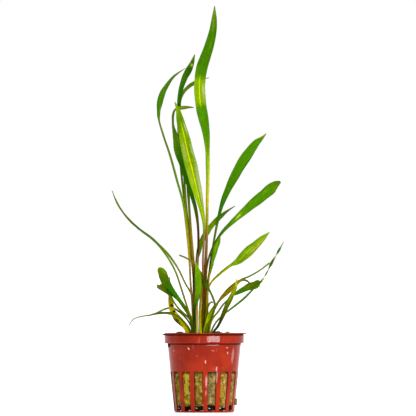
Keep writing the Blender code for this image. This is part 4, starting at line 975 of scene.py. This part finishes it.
def make_wool():
    rows = [(0.6, WOOL_TOP)] + [(21.0 * k / 16.0, WOOL_TOP) for k in range(1, 17)]
    rows += [(21.6, WOOL_TOP - 0.5), (21.9, WOOL_TOP - 1.2)]
    heights = np.linspace(WOOL_TOP - 2.2, SLOT_TOP + 1.0, 14).tolist()
    heights += np.linspace(SLOT_TOP, WOOL_BOTTOM + 0.5, 42).tolist()
    rows += [(wall_radius(z) - WOOL_INSET, z) for z in heights]
    rows += [(wall_radius(WOOL_BOTTOM) - 2.0, WOOL_BOTTOM), (12.0, WOOL_BOTTOM), (1.0, WOOL_BOTTOM)]
    mesh = joined("rockwool", lathe(rows, 300, wool_point), wool_fibres(random.Random(41)), 0)
    make_piece("rockwool", "rockwool", mesh, wool_material(), fibre_material())


# Roots

def make_root_mat():
    """Tangled wet roots under the plug, round a low dark core, and four pale root tips whose bluish white is a
    painted highlight of glints.
    """
    rng = random.Random(7)
    limit = wall_radius(1.0) - WALL - 0.7
    core = [(0.5, 3.6), (9.0, 3.6), (13.5, 3.4), (15.4, 2.9), (15.9, 2.2), (15.9, 1.4), (8.0, 1.4), (0.5, 1.4)]

    def shift(radius, height, angle):
        spot = turned(radius, angle, height)
        return spot + up(0.35 * noise.noise(spot * 0.6))

    strands = Strands()
    for _ in range(420):
        angle = rng.uniform(0.0, 2.0 * math.pi)
        reach = limit - 3.2 * rng.random() ** 1.5
        height = rng.uniform(1.75, 4.1)
        speed = rng.choice((-1.0, 1.0)) * rng.uniform(0.03, 0.075)
        path = []
        for _ in range(9):
            path.append(turned(reach, angle, height))
            angle += speed + rng.uniform(-0.02, 0.02)
            reach = clamp(reach + rng.uniform(-0.7, 0.7), 10.0, limit)
            height = clamp(height + rng.uniform(-0.55, 0.55), 1.7, 4.2)
        thick = rng.uniform(0.12, 0.3)
        strands.tube(path, [thick * (1.0 - 0.07 * k) for k in range(9)], 5)
    pale_from = len(strands.faces)
    # Four pale root tips, bluish white: painted glints in the gap under the plug
    for x, height in ((-16.1, 2.8), (-5.0, 2.9), (3.0, 2.7), (9.7, 2.9)):
        front = Vector((x, -math.sqrt((limit + 0.35) ** 2 - x * x), height))
        tip = front + Vector((0.55, 0.0, -0.3))
        strands.tube([front - Vector((0.4, -0.3, 0.0)), front, tip], (0.16, 0.32, 0.12), 8)
    mesh = joined("root_mat", lathe(core, 90, shift), strands, pale_from)
    make_piece("root_mat", "roots", mesh, mottled_material("wet_roots", "#0E0B06", "#2E2412", 0.3, 0.5, 0.12, 0.5),
               mottled_material("root_tips_and_glints", "#C8CEDA", "#F2F4F8", 0.3, 0.5, 0.5, 0.5))


def make_root_tuft():
    """Fibres that bulge out of one slot, low on the right."""
    rng = random.Random(17)
    angle = math.radians(FIRST_RIB + 3.5 * PITCH)
    out = turned(1.0, angle)
    along = Vector((math.cos(angle), math.sin(angle), 0.0))
    middle = out * 19.2 + up(6.7)
    strands = Strands()
    for _ in range(150):
        turn = rng.uniform(0.0, 2.0 * math.pi)
        spread = rng.uniform(0.4, 1.0)
        path = []
        for k in range(7):
            swing = turn + (k - 3) * rng.uniform(0.2, 0.5)
            bulge = 1.5 * math.sin(math.pi * k / 6.0) + rng.uniform(-0.1, 0.15)
            path.append(middle + along * (1.55 * spread * math.cos(swing)) + out * (bulge - 0.35)
                        + up(2.1 * spread * math.sin(swing)))
        strands.tube(path, rng.uniform(0.05, 0.12), 4)
    core = bmesh.new()
    bmesh.ops.create_icosphere(core, subdivisions=3, radius=1.0)
    for vertex in core.verts:
        spot = vertex.co * (0.85 + 0.25 * noise.noise(vertex.co * 2.3))
        vertex.co = (middle + along * (1.35 * spot.x) + out * (0.8 * spot.y) + up(1.8 * spot.z)) * MM
    material = mottled_material("dry_roots", "#4A3014", "#B09458", 0.6, 0.9, 0.2, 0.5)
    make_piece("root_tuft", "roots", joined("root_tuft", core, strands), material)


# Crown and moss

def make_crown():
    """A knobbly short stem with a sheath round the foot of each leaf."""
    rows = [(0.04, 49.62)] + [(0.1 * k, 49.62) for k in range(1, 9)]
    rows += [(0.88, 49.45), (0.96, 49.1), (1.0, 48.6), (0.99, 48.0), (0.9, 47.3), (0.04, 47.2)]

    def shift(radius, height, angle):
        x = CROWN_HALF[0] * radius * math.sin(angle) + CROWN_CENTRE[0]
        y = -CROWN_HALF[1] * radius * math.cos(angle) + CROWN_CENTRE[1]
        spot = Vector((x, y, height))
        return spot + up(0.28 * noise.noise(spot * 0.7) - 0.2 * radius)

    sheaths = Strands()
    for leaf in LEAVES:
        x, y, z, width = leaf.rows[0]
        foot = Vector((x, y, z - 1.5))
        radius = width / 2.0 + 0.02
        path = [foot + up(rise) for rise in (0.0, 0.6, 1.1, 1.45)]
        sheaths.tube(path, [radius * swell for swell in (1.35, 1.3, 1.18, 1.0)], 14)
    mesh = joined("crown", lathe(rows, 72, shift), sheaths)
    shader = Shader("crown_tissue")
    fine = shader.noise(shader.place, 500.0, 4.0)
    tint = shader.ramp(fine, ((0.3, linear("#3A3008")), (0.5, linear("#7E7A0E")), (0.7, linear("#B4A818"))))
    material = shader.finish(tint, shader.span(fine, 0.3, 0.7, 0.4, 0.65), 0.25, (fine, 0.4, 0.0003))
    make_piece("crown", "crown_tissue", mesh, material)


MossPad = namedtuple("MossPad", "name centre radii top stems dark light")
MOSS_PADS = (
    MossPad("moss_left", (-15.4, 9.0), (4.1, 6.5), 51.0, 420, "#22482C", "#5E8452"),
    MossPad("moss_right", (8.4, 11.0), (3.4, 5.0), 51.5, 330, "#3A3C0C", "#74702A"),
    MossPad("moss_edge_right", (14.4, 3.5), (2.6, 5.5), 51.0, 260, "#2A5434", "#7A9A74"),
)


def make_moss(pad, seed):
    """Short bent stems with pairs of leaflets, packed over a low core."""
    rng = random.Random(seed)
    centre = Vector((*pad.centre, 0.0))
    base = WOOL_TOP + 0.3
    rise = pad.top - base
    profile = [(0.04, 0.55), (0.3, 0.55), (0.6, 0.45), (0.85, 0.25), (0.95, 0.05), (0.9, -0.1), (0.04, -0.1)]

    def shift(radius, height, angle):
        spot = Vector((pad.radii[0] * radius * math.sin(angle), -pad.radii[1] * radius * math.cos(angle), 0.0))
        return spot + centre + up(base + rise * height + 0.12 * noise.noise(spot * 1.5 + centre))

    stems = Strands()
    for _ in range(pad.stems):
        angle = rng.uniform(0.0, 2.0 * math.pi)
        share = math.sqrt(rng.random()) * 0.9
        foot = shift(share, 0.3 * (1.0 - share * share), angle)
        top = base + rise * (1.0 - 0.55 * share ** 2) * rng.uniform(0.6, 1.0)
        lean = turned(share, angle) * rng.uniform(0.0, 0.5)
        lean += Vector((rng.uniform(-0.5, 0.5), rng.uniform(-0.5, 0.5), 0.0))
        path = [foot + lean * t * t + up((top - foot.z) * t) for t in (0.0, 0.25, 0.5, 0.75, 1.0)]
        stems.tube(path, (0.1, 0.09, 0.08, 0.07, 0.03))
        for k in (1, 2, 3, 3, 4):
            heading = rng.uniform(0.0, 2.0 * math.pi)
            out = Vector((math.cos(heading), math.sin(heading), 0.0))
            tip = path[k] + out * rng.uniform(0.35, 0.6)
            tip.z = min(tip.z + rng.uniform(0.0, 0.3), pad.top)
            stems.leaflet(path[k], tip, Vector((-out.y, out.x, 0.0)) * 0.13)
    mesh = joined(pad.name, lathe(profile, 40, shift), stems)
    make_piece(pad.name, "moss", mesh, mottled_material(pad.name, pad.dark, pad.light, 0.6, 0.9, 0.2, 0.3))


# Stage and camera

def make_floor():
    bpy.ops.mesh.primitive_plane_add(size=60.0)
    floor = bpy.context.object
    floor.name = "floor"
    shader = Shader("floor_paint")
    paint = shader.mix(shader.noise(shader.place, 3.0), [0.93, 0.93, 0.93, 1], [0.95, 0.95, 0.95, 1])
    floor.data.materials.append(shader.finish(paint, 0.9, 0.1, Emission_Color=paint, Emission_Strength=0.3))


def add_thing(name, data, place=(0.0, 0.0, 0.0), turn=(0.0, 0.0, 0.0)):
    """Add a lamp or a camera, at a place in metres and turned by Euler angles in radians."""
    thing = bpy.data.objects.new(name, data)
    thing.location = place
    thing.rotation_euler = turn
    bpy.context.scene.collection.objects.link(thing)
    return thing


def make_lights():
    """A pale room, dimmer above and at the front left, a wide soft light overhead and a low strip at the right.

    Sizes and places are metres.
    """
    world = bpy.data.worlds.new("studio")
    bpy.context.scene.world = world
    world.use_nodes = True
    sky = Nodes(world.node_tree)
    across, depth, height = sky.split(sky.add("ShaderNodeTexCoord", {}, "Generated"))
    level = sky.span(height, 0.06, 0.16, 1.0, 0.35)
    left = sky.span(across, -0.85, -0.3, 0.5, 0.0)
    shade = sky.math("MULTIPLY", left, sky.span(depth, -0.2, -0.02, 1.0, 0.0))
    ground = world.node_tree.nodes["Background"]
    sky.put(ground.inputs["Strength"], sky.math("MULTIPLY", level, sky.math("SUBTRACT", 1.0, shade)))
    ground.inputs["Color"].default_value = (1.0, 1.0, 1.0, 1.0)
    sun = bpy.data.lights.new("top", "SUN")
    sun.energy = 2.7
    sun.angle = math.radians(50.0)
    add_thing("top", sun, turn=(math.radians(16.0), math.radians(10.0), 0.0))
    strip = bpy.data.lights.new("front_right", "AREA")
    strip.shape = "RECTANGLE"
    strip.size, strip.size_y = 0.74, 0.055
    strip.energy = 6.4
    place = Vector((0.447, -0.917, 0.052))
    add_thing("front_right", strip, place, (up(0.052) - place).to_track_quat("-Z", "Y").to_euler())


def make_camera():
    data = bpy.data.cameras.new("camera")
    data.sensor_width = SENSOR
    data.lens = SENSOR * VIEW_DISTANCE / (PHOTO_PIXELS * PIXEL)
    data.clip_end = 100.0
    place = Vector((VIEW_CENTRE_X, -VIEW_DISTANCE, VIEW_CENTRE_Z)) * MM
    bpy.context.scene.camera = add_thing("camera", data, place, (math.radians(90.0), 0.0, 0.0))
    bpy.context.scene.view_settings.view_transform = "Standard"


make_camera()
make_floor()
make_lights()
make_pot()
make_wool()
make_root_mat()
make_root_tuft()
make_crown()
for number, pad in enumerate(MOSS_PADS):
    make_moss(pad, 60 + number)
for number, leaf in enumerate(LEAVES):
    make_leaf(leaf, number)
